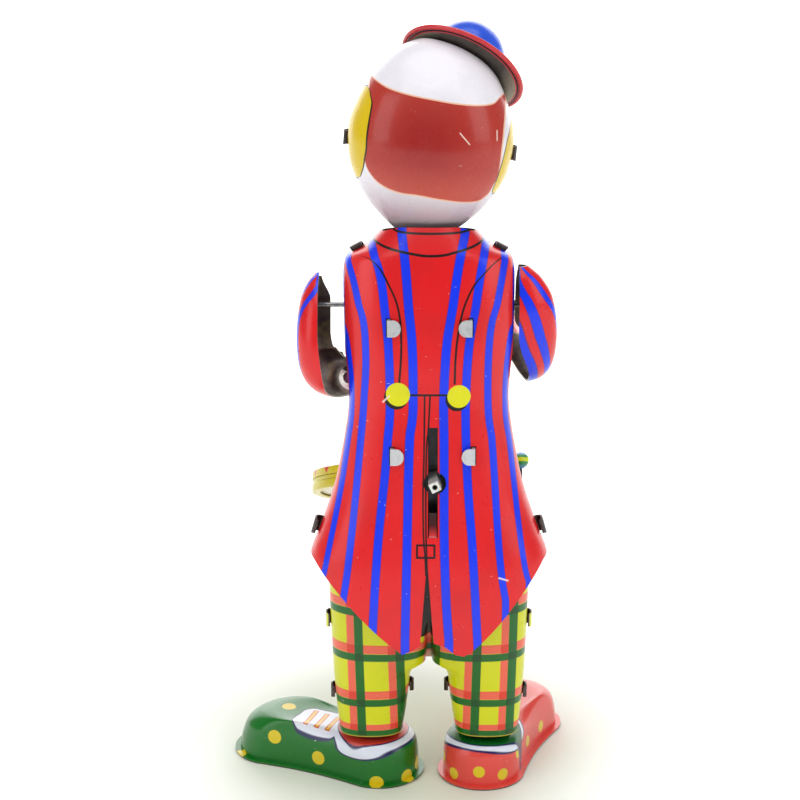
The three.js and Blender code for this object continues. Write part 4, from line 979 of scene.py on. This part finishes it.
def make_head(tin, edge_tin):
    under_hat = HEAD_TURN.inverted() @ HAT_TURN
    for name, facing in (("back", 1), ("front", -1)):
        mesh = shell(f"head_{name}", head_grid(facing, 0), head_grid(facing, SHEET))
        piece = add_shell(f"head_{name}_shell", f"head_{name}", mesh, "head", "head_print",
                          head_print(facing > 0), tin, matrix=HEAD_TURN)
        knife = block("c", (-40, -40, -LIFT), (40, 40, 40))
        knife.transform(under_hat)
        cut(piece, knife)
    tabs = [bent_tab(side, float(head_width(-1)) - 0.1, -1, 3.8, 2.0) for side in (1, -1)]
    add_shell(None, "head_tabs", joined("head_tabs", *tabs), "head", "bare_tin", edge_tin, edge_tin,
              matrix=HEAD_TURN)


def hat_upper():
    """Blue dome, red brim with a black line at its root."""
    paint = Print("hat_upper", (20, 72, 214))
    reach = paint.reach()
    paint.lay(reach.ramp(HAT["crown"] * 0.4, HAT["crown"]) * 0.25, (60, 120, 240))
    on_brim = (paint.z * -1 + 1.7).ramp(-0.1, 0.1) * (reach - HAT["crown"]).ramp(-0.3, -0.1)
    paint.lay(on_brim, BLACK)
    paint.lay(on_brim * (reach - HAT["crown"] - 1.0).ramp(-0.1, 0.1), (204, 44, 50))
    paint.lay((reach - HAT["brim"] + 0.95).band(0.16) * on_brim, BLACK)
    return paint.wear(0.6, chip=(150, 190, 250)).done(rough=0.26, coat=0.5, bump=0.06, grain=0.4)


def hat_underside():
    """Dull gold tin under the brim, painted dark grey, partly as the shade beneath it; paler at both ends as
    painted light; a red rim and a black line.
    """
    # painted shade: the dark base stands partly for the shade under the brim
    paint = Print("hat_underside", (74, 68, 62))
    paint.lay(paint.blotches(0.35, 4, 0.45, 3.0) * 0.6, (52, 44, 40))
    # painted light: paler towards both ends of the brim
    paint.lay(abs(paint.x).ramp(8.5, 14) * 0.7, (176, 166, 142))
    reach = paint.reach()
    paint.lay((reach - HAT["brim"] + 1.75).ramp(-0.1, 0.1), (196, 52, 62))
    paint.lay((reach - HAT["brim"] + 1.25).band(0.22), BLACK)
    paint.lay(paint.blotches(1.4, 4, 0.6, 8.0) * 0.6, (30, 24, 20))
    return paint.done(rough=0.4, metal=0.25, coat=0.0, bump=0.15, grain=0.7)


def make_hat():
    crown, brim, height = HAT["crown"], HAT["brim"], HAT["height"]
    inner, rise = crown - SHEET, height - crown
    dome = [(crown * math.cos(a), rise + crown * math.sin(a)) for a in even(math.pi / 2, -0.1, 24)]
    dome[0] = (0, height)
    hollow = [(inner * math.cos(a), rise + inner * math.sin(a)) for a in even(0, math.pi / 2, 14)]
    hollow[-1] = (0, height - SHEET)
    upper = rounded([dome[-1], (crown - 0.35, 1.6), (crown + 0.6, 0.85), (12.6, 0.9),
                     (brim - 0.95, 1.35), (brim - 0.8, 1.6)], 0.5)
    bead = [(brim - 0.5 + 0.55 * math.cos(a), 1.35 + 0.5 * math.sin(a)) for a in even(2.3, -2.35, 22)]
    lower = rounded([bead[-1], (brim - 1.3, 0.8), (12.6, 0.35), (crown, 0.2),
                     (inner, 0.6), (inner, rise)], 0.4)
    profile = dome + upper[1:] + bead + lower[1:] + hollow[1:]
    kinds = [PRINTED] * (len(dome) + len(upper) + len(bead) - 2)
    kinds += [BARE] * (len(lower) + len(hollow) - 2)
    add_shell("hat_shell", "hat", turned("hat", profile, 96, kinds), "head", "hat_print",
              hat_upper(), hat_underside(), matrix=HAT_TURN)


# ---- arms ----
ARMS = {
    "left": {"edge": 27.9, "elbow": 27.0, "deep": 0.7, "elbow_deep": 0.8,
             "lip": 2.6, "top": 137.2, "anchor": 30.7},
    "right": {"edge": 22.7, "elbow": 26.1, "deep": 1.24, "elbow_deep": 0.84,
              "lip": 0.5, "top": 140.4, "anchor": 28.4},
}
WRIST_EDGE = 20.8
arm_half = curve([(0, 1.6), (0.05, 3.6), (0.15, 5.6), (0.3, 6.2), (0.5, 6.2), (0.75, 5.0), (1, 4.0)])
arm_depth = curve([(0, 1.8), (0.05, 4.4), (0.15, 7.0), (0.35, 8.2), (0.6, 7.6), (1, 5.6)])
GRIP = Vector((21.6, -35.2, 111.6))
AIM = Vector((-10.5, -19, -25.0)).normalized()


def arm_path(top):
    """Evenly spaced points and directions (y, z) along the bent arm."""
    line = [(-2, top), (-0.6, 131), (-0.4, 120.5), (-3.4, 114.2),
            (-11, 111.6), (-20, 111), (-29.5, 111.6)]
    knots = [np.array(p, float) for p in line]
    knots = [2 * knots[0] - knots[1]] + knots + [2 * knots[-1] - knots[-2]]
    spots = []
    for a, b, c, d in zip(knots, knots[1:], knots[2:], knots[3:]):
        t0, t1, t2 = (max(np.linalg.norm(q - p) ** 0.5, 1e-3) for p, q in ((a, b), (b, c), (c, d)))
        m1 = ((b - a) / t0 - (c - a) / (t0 + t1) + (c - b) / t1) * t1
        m2 = ((c - b) / t1 - (d - b) / (t1 + t2) + (d - c) / t2) * t1
        for s in even(0, 1, 33)[:-1]:
            bent = (3 * (c - b) - 2 * m1 - m2) * s**2 + (m1 + m2 - 2 * (c - b)) * s**3
            spots.append(b + m1 * s + bent)
    spots = np.array(spots + [knots[-2]])
    length = np.concatenate([[0], np.cumsum(np.linalg.norm(np.diff(spots, axis=0), axis=1))])
    share = even(0, 1, 65)
    place = np.stack([np.interp(share * length[-1], length, spots[:, k]) for k in (0, 1)], -1)
    ahead = np.gradient(place, axis=0)
    return share, place, ahead / np.linalg.norm(ahead, axis=1, keepdims=True)


def sleeve_grids(arm):
    share, place, ahead = arm_path(arm["top"])
    ring = np.concatenate([[-118, -104], even(-90, 90, 33)])
    degrees, s = np.meshgrid(ring, share)
    angle = np.radians(degrees)
    bend, wrist = smooth(0.3, 0.5, s), smooth(0.42, 1, s)
    depth_share = mix(mix(arm["deep"], arm["elbow_deep"], bend), 1, wrist)
    edge = mix(mix(arm["edge"], arm["elbow"], bend), WRIST_EDGE, wrist)
    slim = mix(1, 0.72, smooth(0.3, 1, s))
    grids = []
    for inset in (0, SHEET):
        half = arm_half(s) - inset
        deep = np.maximum(arm_depth(s) * depth_share - inset, 0.1)
        flat = degrees < -90
        lip = -arm["lip"] * (-90 - degrees) / 28 * mix(0.15, 1, smooth(-0.01, 0.1, s))
        x = edge + np.where(flat, lip, deep * np.cos(angle) * slim)
        offset = half * np.where(flat, -1, np.sin(angle))
        y = place[:, None, 0] - ahead[:, None, 1] * offset
        z = place[:, None, 1] + ahead[:, None, 0] * offset
        grids.append(np.stack([x, y, z], -1))
    uv = np.stack([around(degrees), s], -1)
    return grids[0], grids[1], uv


def around(degrees):
    """Place round the sleeve as its print counts it, from 0 at the front lip to 1 at the back edge."""
    return (degrees + 118) / 208


def stripe_line(*pairs):
    return [(s, around(degrees)) for s, degrees in pairs]


SLEEVE_STRIPES = {
    "left": [
        (stripe_line((0, 76), (0.03, 66), (0.07, 45), (0.12, 18), (0.2, -22), (0.3, -38),
                     (1, -40)), 0.052),
        (stripe_line((0.09, 92), (0.14, 68), (0.18, 47), (0.22, 31), (0.28, 19), (0.4, 16),
                     (0.6, 20), (1, 26)), 0.052),
    ],
    "right": [
        (stripe_line((0, 74), (0.03, 60), (0.07, 48), (0.12, 40), (0.2, 20), (0.3, 4),
                     (0.5, -4), (1, -4)), 0.038),
        (stripe_line((0.05, 96), (0.1, 86), (0.15, 75), (0.2, 68), (0.3, 58), (0.38, 50),
                     (0.5, 44), (1, 44)), 0.042),
        (stripe_line((0.22, 104), (0.28, 96), (0.36, 89), (0.44, 84), (0.55, 82), (1, 84)), 0.06),
    ],
}


def fist_mesh():
    """Closed glove: a palm, four fingers and a thumb wrapped round the stick."""
    across = AIM
    out = Vector((1, 0, 0))
    out = (out - across * out.dot(across)).normalized()
    up = across.cross(out)
    bm = bmesh.new()

    def ball(place, size, stretch=(1, 1, 1)):
        made = bmesh.ops.create_icosphere(bm, subdivisions=3, radius=1)
        for vert in made["verts"]:
            c = vert.co
            vert.co = place + out * c.x * size * stretch[0] + across * c.y * size * stretch[1] \
                + up * c.z * size * stretch[2]

    def round_stick(along, radius, degrees):
        turn = math.radians(degrees)
        off = out * (radius * math.cos(turn)) + up * (radius * math.sin(turn))
        ball(GRIP + across * along + off, 1.15)

    ball(GRIP + out * 1.4, 3.4, (0.8, 1.15, 0.95))
    for k in range(4):
        for step in range(7):
            round_stick(-3.3 + 2.2 * k, 2.3, -40 + step * 38)
    for step in range(5):
        round_stick(-3.9 + 0.5 * step, 2.7, 200 - step * 30)
    wrist = Vector((21.6, -27.4, 111.6))
    for step in range(9):
        ball(wrist.lerp(GRIP + out * 0.8, step / 8), 1.75)
    bmesh.ops.scale(bm, vec=(MM, MM, MM), verts=bm.verts)
    return mesh_of("fist", bm)


def fused(mesh, voxel):
    """One smooth skin round overlapping shapes."""
    thing = linked("fused", mesh)
    remesh = thing.modifiers.new("skin", "REMESH")
    remesh.mode = "VOXEL"
    remesh.voxel_size = voxel * MM
    soften = thing.modifiers.new("soften", "SMOOTH")
    soften.factor = 0.5
    soften.iterations = 3
    result = applied(thing)
    bpy.data.objects.remove(thing)
    return result


def make_arms(tin, wire, glove, wood, bead_finish):
    y, z = SHOULDER
    fist = fused(fist_mesh(), 0.28)
    stick_start, stick_end = GRIP - AIM * 9, GRIP + AIM * 31
    for name, side in (("left", 1), ("right", -1)):
        arm = ARMS[name]
        shoulder = Vector((0, y, z))
        swing = Matrix.Translation(shoulder * MM) @ Matrix.Rotation(
            math.radians(ARM_REST[name]), 4, "X") @ Matrix.Translation(-shoulder * MM)

        def add(node, piece, mesh, slot, *finishes):
            return add_shell(f"{name}_{node}", f"{name}_{piece}", mirrored(mesh, side), f"{name}_arm",
                             slot, *finishes, matrix=swing)

        outer, inner, uv = sleeve_grids(arm)
        add("sleeve", "arm_sleeve", shell(f"{name}_sleeve", outer, inner, uv=uv), "sleeve_print",
            sleeve_print(f"sleeve_print_{name}", SLEEVE_STRIPES[name]), tin)
        hand = add("hand", "glove", fist.copy(), "glove_enamel", glove, glove)
        cut(hand, mirrored(rod_mesh(stick_start - AIM, stick_end, 0.98), side), sharp=60)
        path = [stick_start.lerp(stick_end, t) for t in even(0, 1, 12)]
        add("drumstick", "stick", tube("stick", path, 0.9, 24), "stick_enamel", wood, wood)
        tip = stick_end + AIM * 1.4
        profile = [(0, -1.9), (0.95, -1.85), (1.25, -1.65)] + [
            (2.1 * math.cos(a), 2.1 * math.sin(a)) for a in even(-0.88, math.pi / 2, 20)]
        profile[-1] = (0, 2.1)
        bead = turned("bead", profile, 40)
        spin = Vector((0, 0, 1)).rotation_difference(AIM).to_matrix().to_4x4()
        bead.transform(Matrix.Translation(tip * MM) @ spin)
        bead = add("stick_bead", "bead", bead, "bead_enamel", bead_finish, bead_finish)
        cut(bead, mirrored(rod_mesh(stick_end - AIM * 4, stick_end + AIM * 0.2, 1.0), side))
        bend, corner = arm["anchor"], 17.2
        route = [Vector(step) + Vector((0, y, z)) for step in (
            (bend, 0.4, -8), (bend, 0.1, -2), (bend - 0.5, 0, -0.4), (bend - 2, 0, 0),
            (corner + 1.6, 0, 0), (corner + 0.3, 0.4, 0), (corner, 1.4, 0),
            (corner - 0.2, 2.4, 0), (corner - 1.4, 2.8, 0), (corner - 5, 2.8, 0))]
        add("arm_wire", "shoulder_wire", tube("arm_wire", route, 0.62, 16), "wire_steel", wire, wire)


# ---- drum ----
DRUM_TURN = turned_to(DRUM["place"], DRUM["tilt"], 0, 0)


def hoop_profile(way):
    """Rolled hoop with a lip over the drum's end; way is 1 for the upper one."""
    radius, half = DRUM["radius"], DRUM["half"]
    corners = [(radius, 2.3), (radius, 0), (radius - 2.4, 0), (radius - 2.4, 0.5), (radius - 0.5, 0.5),
               (radius - 0.5, 2.3)]
    middle = (radius - 0.25, 2.3)
    return rounded([(r, way * (half - down)) for r, down in [middle] + corners + [middle]], 0.45)


def make_drum(tin, skin):
    radius, half = DRUM["radius"] - 1.0, DRUM["half"]
    wall = [(radius, -1.2), (radius, -0.7), (radius + 0.7, -0.58), (radius + 0.7, 0.58), (radius, 0.7),
            (radius, 1.2), (radius - 0.5, 1.2), (radius - 0.5, -1.2), (radius, -1.2)]
    yellow = drum_print("drum_print", False)
    mesh = turned("drum_side", wall, 160, [PRINTED] * 5 + [BARE] * 3)
    add_shell("drum_wall", "drum_side", mesh, "figure", "drum_print", yellow, tin, matrix=DRUM_TURN)
    for way, name in ((1, "top"), (-1, "bottom")):
        finish = drum_print(f"hoop_print_{name}", way > 0)
        add_shell(f"drum_hoop_{name}", f"hoop_{name}", turned("hoop", hoop_profile(way), 160), "figure",
                  "hoop_print", finish, finish, matrix=DRUM_TURN)
    for node, low in (("drum_head", half - 1.5), ("drum_bottom", 0.8 - half)):
        lip = [(0, low), (radius, low), (radius, low + 0.5), (radius - 1.2, low + 0.5),
               (radius - 2.4, low + 0.42), (radius * 0.55, low + 0.38), (0, low + 0.36)]
        add_shell(node, node.replace("drum", "drum_skin"), turned(node, rounded(lip, 0.2), 96), "figure",
                  "drum_skin", skin, skin, matrix=DRUM_TURN)
    turn = math.radians(170)
    reach = DRUM["radius"] + LIFT + 0.5
    spot = Vector((reach * math.cos(turn), reach * math.sin(turn), 0))
    stem = [(0, -half - 1.6), (0.45, -half - 1.6), (0.45, 4.1), (0.9, 4.2), (1.0, 3.95)]
    ball = [(2.4 * math.cos(a), 6.2 + 2.4 * math.sin(a)) for a in even(-1.08, math.pi / 2, 24)]
    ball[-1] = (0, 8.6)
    place = DRUM_TURN @ Matrix.Translation((spot + Vector((0.15, 0.1, 0))) * MM)
    finish = knob_print()
    mesh = turned("banded_knob", stem + ball, 48)
    add_shell("drum_knob", "banded_knob", mesh, "figure", "bead_enamel", finish, finish, matrix=place)


def knob_print():
    """Ball in painted bands on a black stem; the pale blue top band is a painted highlight."""
    paint = Print("knob_print", (24, 24, 26))
    z = paint.z
    paint.lay(z.between(3.6, 4.7), (70, 132, 168))
    paint.lay(z.between(4.6, 5.6), (30, 138, 70))
    paint.lay(z.between(5.6, 6.8), (206, 224, 30))
    paint.lay(z.between(6.8, 7.5), (58, 150, 84))
    # painted highlight: pale blue band over the top of the ball
    paint.lay(z.between(7.5, 9.0), (150, 196, 220))
    return paint.wear(0.6).done(rough=0.25, coat=0.6, bump=0.04)


# ---- shoes ----
SHOE = {
    "heel_back": 2, "reach": 32.5, "flange": 12, "wall": 10.6, "ankle": 6.6, "top": 12.2, "hole": 1.45,
}
SHOE_SHARES = curve([(0, 0), (1, 0.03), (2, 0.1), (3, 0.28), (4, 0.62), (5, 1)])
SHOE_HEIGHTS = curve([(0, 0.8), (1, 5.5), (2, 9.0), (3, 10.8), (4, 11.9), (5, 12.2)])
SHOE_SWELLS = curve([(0, 0), (1, 0), (2, 1.0), (3, 2.0), (4, 0.4), (5, 0)])


def shoe_outline():
    """Centre, outward direction and waist of the sole's outline, all the way round."""
    toe, heel = SHOE["reach"] - SHOE["heel_back"], -SHOE["heel_back"]
    parts = []
    for here, there, turn in ((toe, heel, -90), (heel, toe, 90)):
        parts += [(here, mix(turn, turn + 180, t), 0) for t in even(0, 1, 41)[:-1]]
        parts += [(mix(here, there, t), turn + 180, math.sin(t * math.pi)) for t in even(0, 1, 17)[:-1]]
    return parts


def shoe_grid(inset):
    rows = []
    outline = shoe_outline()
    rings = [("flange", 0, 0.35, 0), ("flange", 0, 0.8, 0), ("fold", 0, 0.8, 0)]
    rings += [("wall", float(SHOE_SHARES(t)), float(SHOE_HEIGHTS(t)), float(SHOE_SWELLS(t)))
              for t in even(0, 5, 41)]
    rings.append(("hole", 1, SHOE["top"], 0))
    for kind, inward, height, swell in rings:
        row = []
        for centre, degrees, waist in outline:
            a = math.radians(degrees)
            base = {"flange": SHOE["flange"], "fold": SHOE["wall"] + 0.5}.get(kind, SHOE["wall"])
            radius = base - waist * 1.3 - (inset if kind != "flange" else inset * 0.5)
            x, y = centre + radius * math.cos(a), radius * math.sin(a)
            heading = math.atan2(y, x)
            core = SHOE["hole"] if kind == "hole" else SHOE["ankle"]
            core_x, core_y = core * math.cos(heading), core * math.sin(heading)
            toe = float(smooth(8, 30, x))
            low = kind in ("flange", "fold")
            z = height + swell * toe - (inset if low else inset * float(smooth(-0.02, 0.2, inward)))
            z = max(z, 0.0)
            share = 1 if kind == "hole" else inward
            row.append((mix(x, core_x, share), mix(y, core_y, share), z))
        rows.append(row)
    return np.array(rows, float)


GREEN_DOTS = [
    (26.7, -0.1, 12.6), (25.7, 9.7, 8.0), (12.3, 9.4, 4.3), (-5.8, 9.8, 1.1), (37.0, 10.0, 0.3),
    (-12.2, -2.1, 3.1), (-11.9, 3.6, 1.5), (42.2, -1.5, 3.0), (31.0, -8.6, 6.0), (14.0, -9.3, 4.0),
]
RED_DOTS = [
    (21.3, -9.5, 4.5), (10, -9.3, 4.9), (-1.6, -10.3, 7.1), (-12, -2.9, 4.7), (-8.3, -8.4, 3.4),
    (-11.4, 4.5, 2.7), (-7.5, 9.4, 5.0), (26.7, -0.1, 12.6), (25.7, 9.7, 8.0), (12.3, 9.4, 4.3),
]


def make_shoes(tin):
    looks = {
        "left": ("green_shoe_print", (4, 110, 24), (212, 62, 46), GREEN_DOTS, 1.95, 9.5, 7.4),
        "right": ("red_shoe_print", (226, 72, 62), (10, 100, 30), RED_DOTS, 1.6, 10.0, 8.3),
    }
    for name, side in (("left", 1), ("right", -1)):
        slot, *print_values = looks[name]
        mesh = shell(f"{name}_shoe", shoe_grid(0), shoe_grid(SHEET), wrap=True)
        matrix = turned_to((side * LEG_X, ANKLE_Y, 0), 0, 0, SHOE_TURN[name])
        add_shell(f"{name}_shoe", f"{name}_tin_shoe", mesh, f"{name}_foot", slot,
                  shoe_print(slot, *print_values), tin, matrix=matrix)


# ---- studio ----
CAMERA = {"place": (0, 380, 195), "pitch": 13.3213, "lens": 68.247, "shift": -0.0361}


def make_camera():
    data = bpy.data.cameras.new("camera")
    data.lens = CAMERA["lens"]
    data.sensor_width = 36
    data.shift_x = CAMERA["shift"]
    data.clip_start = 0.01
    data.clip_end = 20
    camera = linked("camera", data)
    camera.location = (Vector(CAMERA["place"]) + SHIFT) * MM
    camera.rotation_euler = (math.radians(90 - CAMERA["pitch"]), 0, math.pi)
    bpy.context.scene.camera = camera


def area_light(name, place, aim, size, watts, colour=(1, 1, 1)):
    data = bpy.data.lights.new(name, "AREA")
    data.shape = "RECTANGLE"
    data.size, data.size_y = size
    data.energy = watts
    data.color = colour
    lamp = linked(name, data)
    lamp.location = place
    lamp.rotation_euler = (Vector(aim) - Vector(place)).to_track_quat("-Z", "Y").to_euler()


def make_floor():
    """Pale backdrop: a floor that curves up into a wall on the far side, with a painted shadow round the
    feet.
    """
    steps = [(0.5, 0), (0, 0), (-0.6, 0), (-1.3, 0), (-1.6, 0.04), (-1.78, 0.18), (-1.86, 0.45),
             (-1.88, 1.0), (-1.88, 2.2)]
    points = [(x, y, z) for y, z in steps for x in even(-2.0, 2.0, 9)]
    faces = [(j * 9 + i, j * 9 + i + 1, j * 9 + i + 10, j * 9 + i + 9)
             for j in range(len(steps) - 1) for i in range(8)]
    mesh = bpy.data.meshes.new("backdrop")
    mesh.from_pydata(points, [], [tuple(reversed(face)) for face in faces])
    mesh.shade_smooth()
    paint = Print("backdrop", (250, 252, 249))
    from_feet = paint.reach(10)
    # painted shadow: greenish grey on the floor round the feet
    paint.lay(from_feet.ramp(75, 21) * 0.8, (214, 222, 200))
    paint.lay(paint.noise(0.004, 2) * 0.05, (244, 246, 242))
    # the backdrop glows so it shows white; the glow is left out near the feet, which keeps the floor there
    # darker as painted shadow
    far = (paint.y * -1).ramp(600, 1300) * paint.z.ramp(4, 60) * 1.2
    glow = far.most((paint.y * -1).ramp(80, 500) * 0.6).most(from_feet.ramp(41, 101) * 0.3)
    paint.tree.links.new(glow.socket, paint.shader.inputs["Emission Strength"])
    paint.shader.inputs["Emission Color"].default_value = (1, 1, 1, 1)
    mesh.materials.append(paint.done(rough=0.75, coat=0.0, bump=0.0, rough_swing=0.02))
    floor = linked("backdrop", mesh)


def make_studio():
    scene = bpy.context.scene
    scene.view_settings.view_transform = "Standard"
    world = bpy.data.worlds.new("studio")
    world.use_nodes = True
    background = world.node_tree.nodes["Background"]
    background.inputs["Color"].default_value = (1, 1, 1, 1)
    background.inputs["Strength"].default_value = 0.3
    scene.world = world
    middle = (0, 0, 0.1)
    area_light("over", (0, 0.25, 0.9), middle, (0.8, 0.8), 4.2)
    area_light("left", (0.75, 0.55, 0.4), middle, (0.5, 0.8), 2.3)
    area_light("right", (-0.75, 0.5, 0.45), middle, (0.5, 0.8), 2.3)
    area_light("behind", (0, -0.8, 0.5), middle, (0.9, 0.6), 1.8)


# ---- assembly ----
def arbor_end():
    """Bright square end with a dark disc painted at its centre as the shade of its hole."""
    low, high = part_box("winding_arbor")
    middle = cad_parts["winding_arbor"].matrix_world.inverted() @ ((low + high) / 2) / MM
    paint = Print("arbor_steel", (226, 226, 220))
    paint.lay(paint.blotches(0.9, 4, 0.45, 2.0), (186, 184, 180))
    # painted shade: dark disc for the shadowed centre hole
    paint.lay(paint.spot(middle, (0.68, None, 0.68)).inside(0.2), (22, 18, 18))
    return paint.done(rough=0.3, metal=0.5, coat=0.0, bump=0.1, grain=0.9)


def plate_with_wings():
    """Dark plate whose folded ends, out in the light, are bright."""
    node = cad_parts["motor_back_plate"]
    low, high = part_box("motor_back_plate")
    edge = (node.matrix_world.inverted() @ high).y / MM
    paint = Print("motor_plate", (78, 78, 82))
    paint.lay((paint.y - edge).ramp(-3.4, -2.8), (206, 208, 210))
    paint.lay(paint.blotches(1.1, 5, 0.5, 2.2) * 0.5, (110, 112, 116))
    return paint.done(rough=0.36, metal=0.55, coat=0.0, bump=0.2, grain=0.9)


def dress_cad_nodes():
    """Metal finishes for the CAD pieces that show as they are."""
    steel = metal("plate_steel", (176, 180, 182), rough=0.42, grain=0.8, dark=0.7, stretch=(0.3, 1, 2.4),
                  metalness=0.75, spots=0.5)
    bright = metal("bright_steel", (226, 226, 222), rough=0.25, grain=0.8, dark=0.85, metalness=0.6)
    dark = metal("dark_steel", (84, 82, 84), rough=0.4, grain=0.8, dark=0.6, spots=0.6)
    brass = metal("brass", (206, 168, 84), rough=0.34, grain=0.9, dark=0.72, metalness=0.85)
    spring = metal("spring_steel", (92, 106, 128), rough=0.3, grain=0.6, dark=0.7)
    finishes = {
        brass: ["great_wheel", "second_wheel", "crank_wheel", "governor_weight"],
        bright: ["winding_arbor", "second_pinion", "crank_pinion", "governor_pinion"],
        spring: ["mainspring"],
        dark: ["click", "ratchet_wheel", "bracket_rivet", "rocker_pin", "left_ankle_rivet",
               "right_ankle_rivet", "left_foot_plate", "right_foot_plate"],
    }
    finishes[plate_with_wings()] = ["motor_back_plate", "motor_front_plate"]
    chosen = {node: finish for finish, nodes in finishes.items() for node in nodes}
    chosen["winding_arbor"] = arbor_end()
    for name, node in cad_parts.items():
        if node.hide_render:
            continue
        node.data.materials.clear()
        node.data.materials.append(chosen.get(name, steel))


def main():
    tin = bare_tin()
    edge_tin = metal("edge_tin", (84, 72, 70), rough=0.35, grain=0.9, dark=0.4, spots=0.6)
    wire = metal("wire", (150, 150, 152), rough=0.3, grain=0.8, dark=0.5, spots=0.5)
    glove = Print("glove_enamel", (240, 236, 228)).wear(0.5).done(rough=0.3, coat=0.4, bump=0.05)
    wood = Print("stick_enamel", (34, 26, 24)).wear(0.5).done(rough=0.35, coat=0.4, bump=0.05)
    bead = Print("bead_enamel", (226, 206, 40)).wear(0.5).done(rough=0.25, coat=0.5, bump=0.04)
    skin = Print("drum_skin", (240, 234, 216)).wear(0.4).done(rough=0.45, coat=0.1, bump=0.05)
    make_camera()
    make_coat(tin, edge_tin)
    make_trousers(tin, edge_tin)
    make_head(tin, edge_tin)
    make_hat()
    make_arms(tin, wire, glove, wood, bead)
    make_drum(tin, skin)
    make_shoes(tin)
    dress_cad_nodes()
    make_floor()
    make_studio()


main()
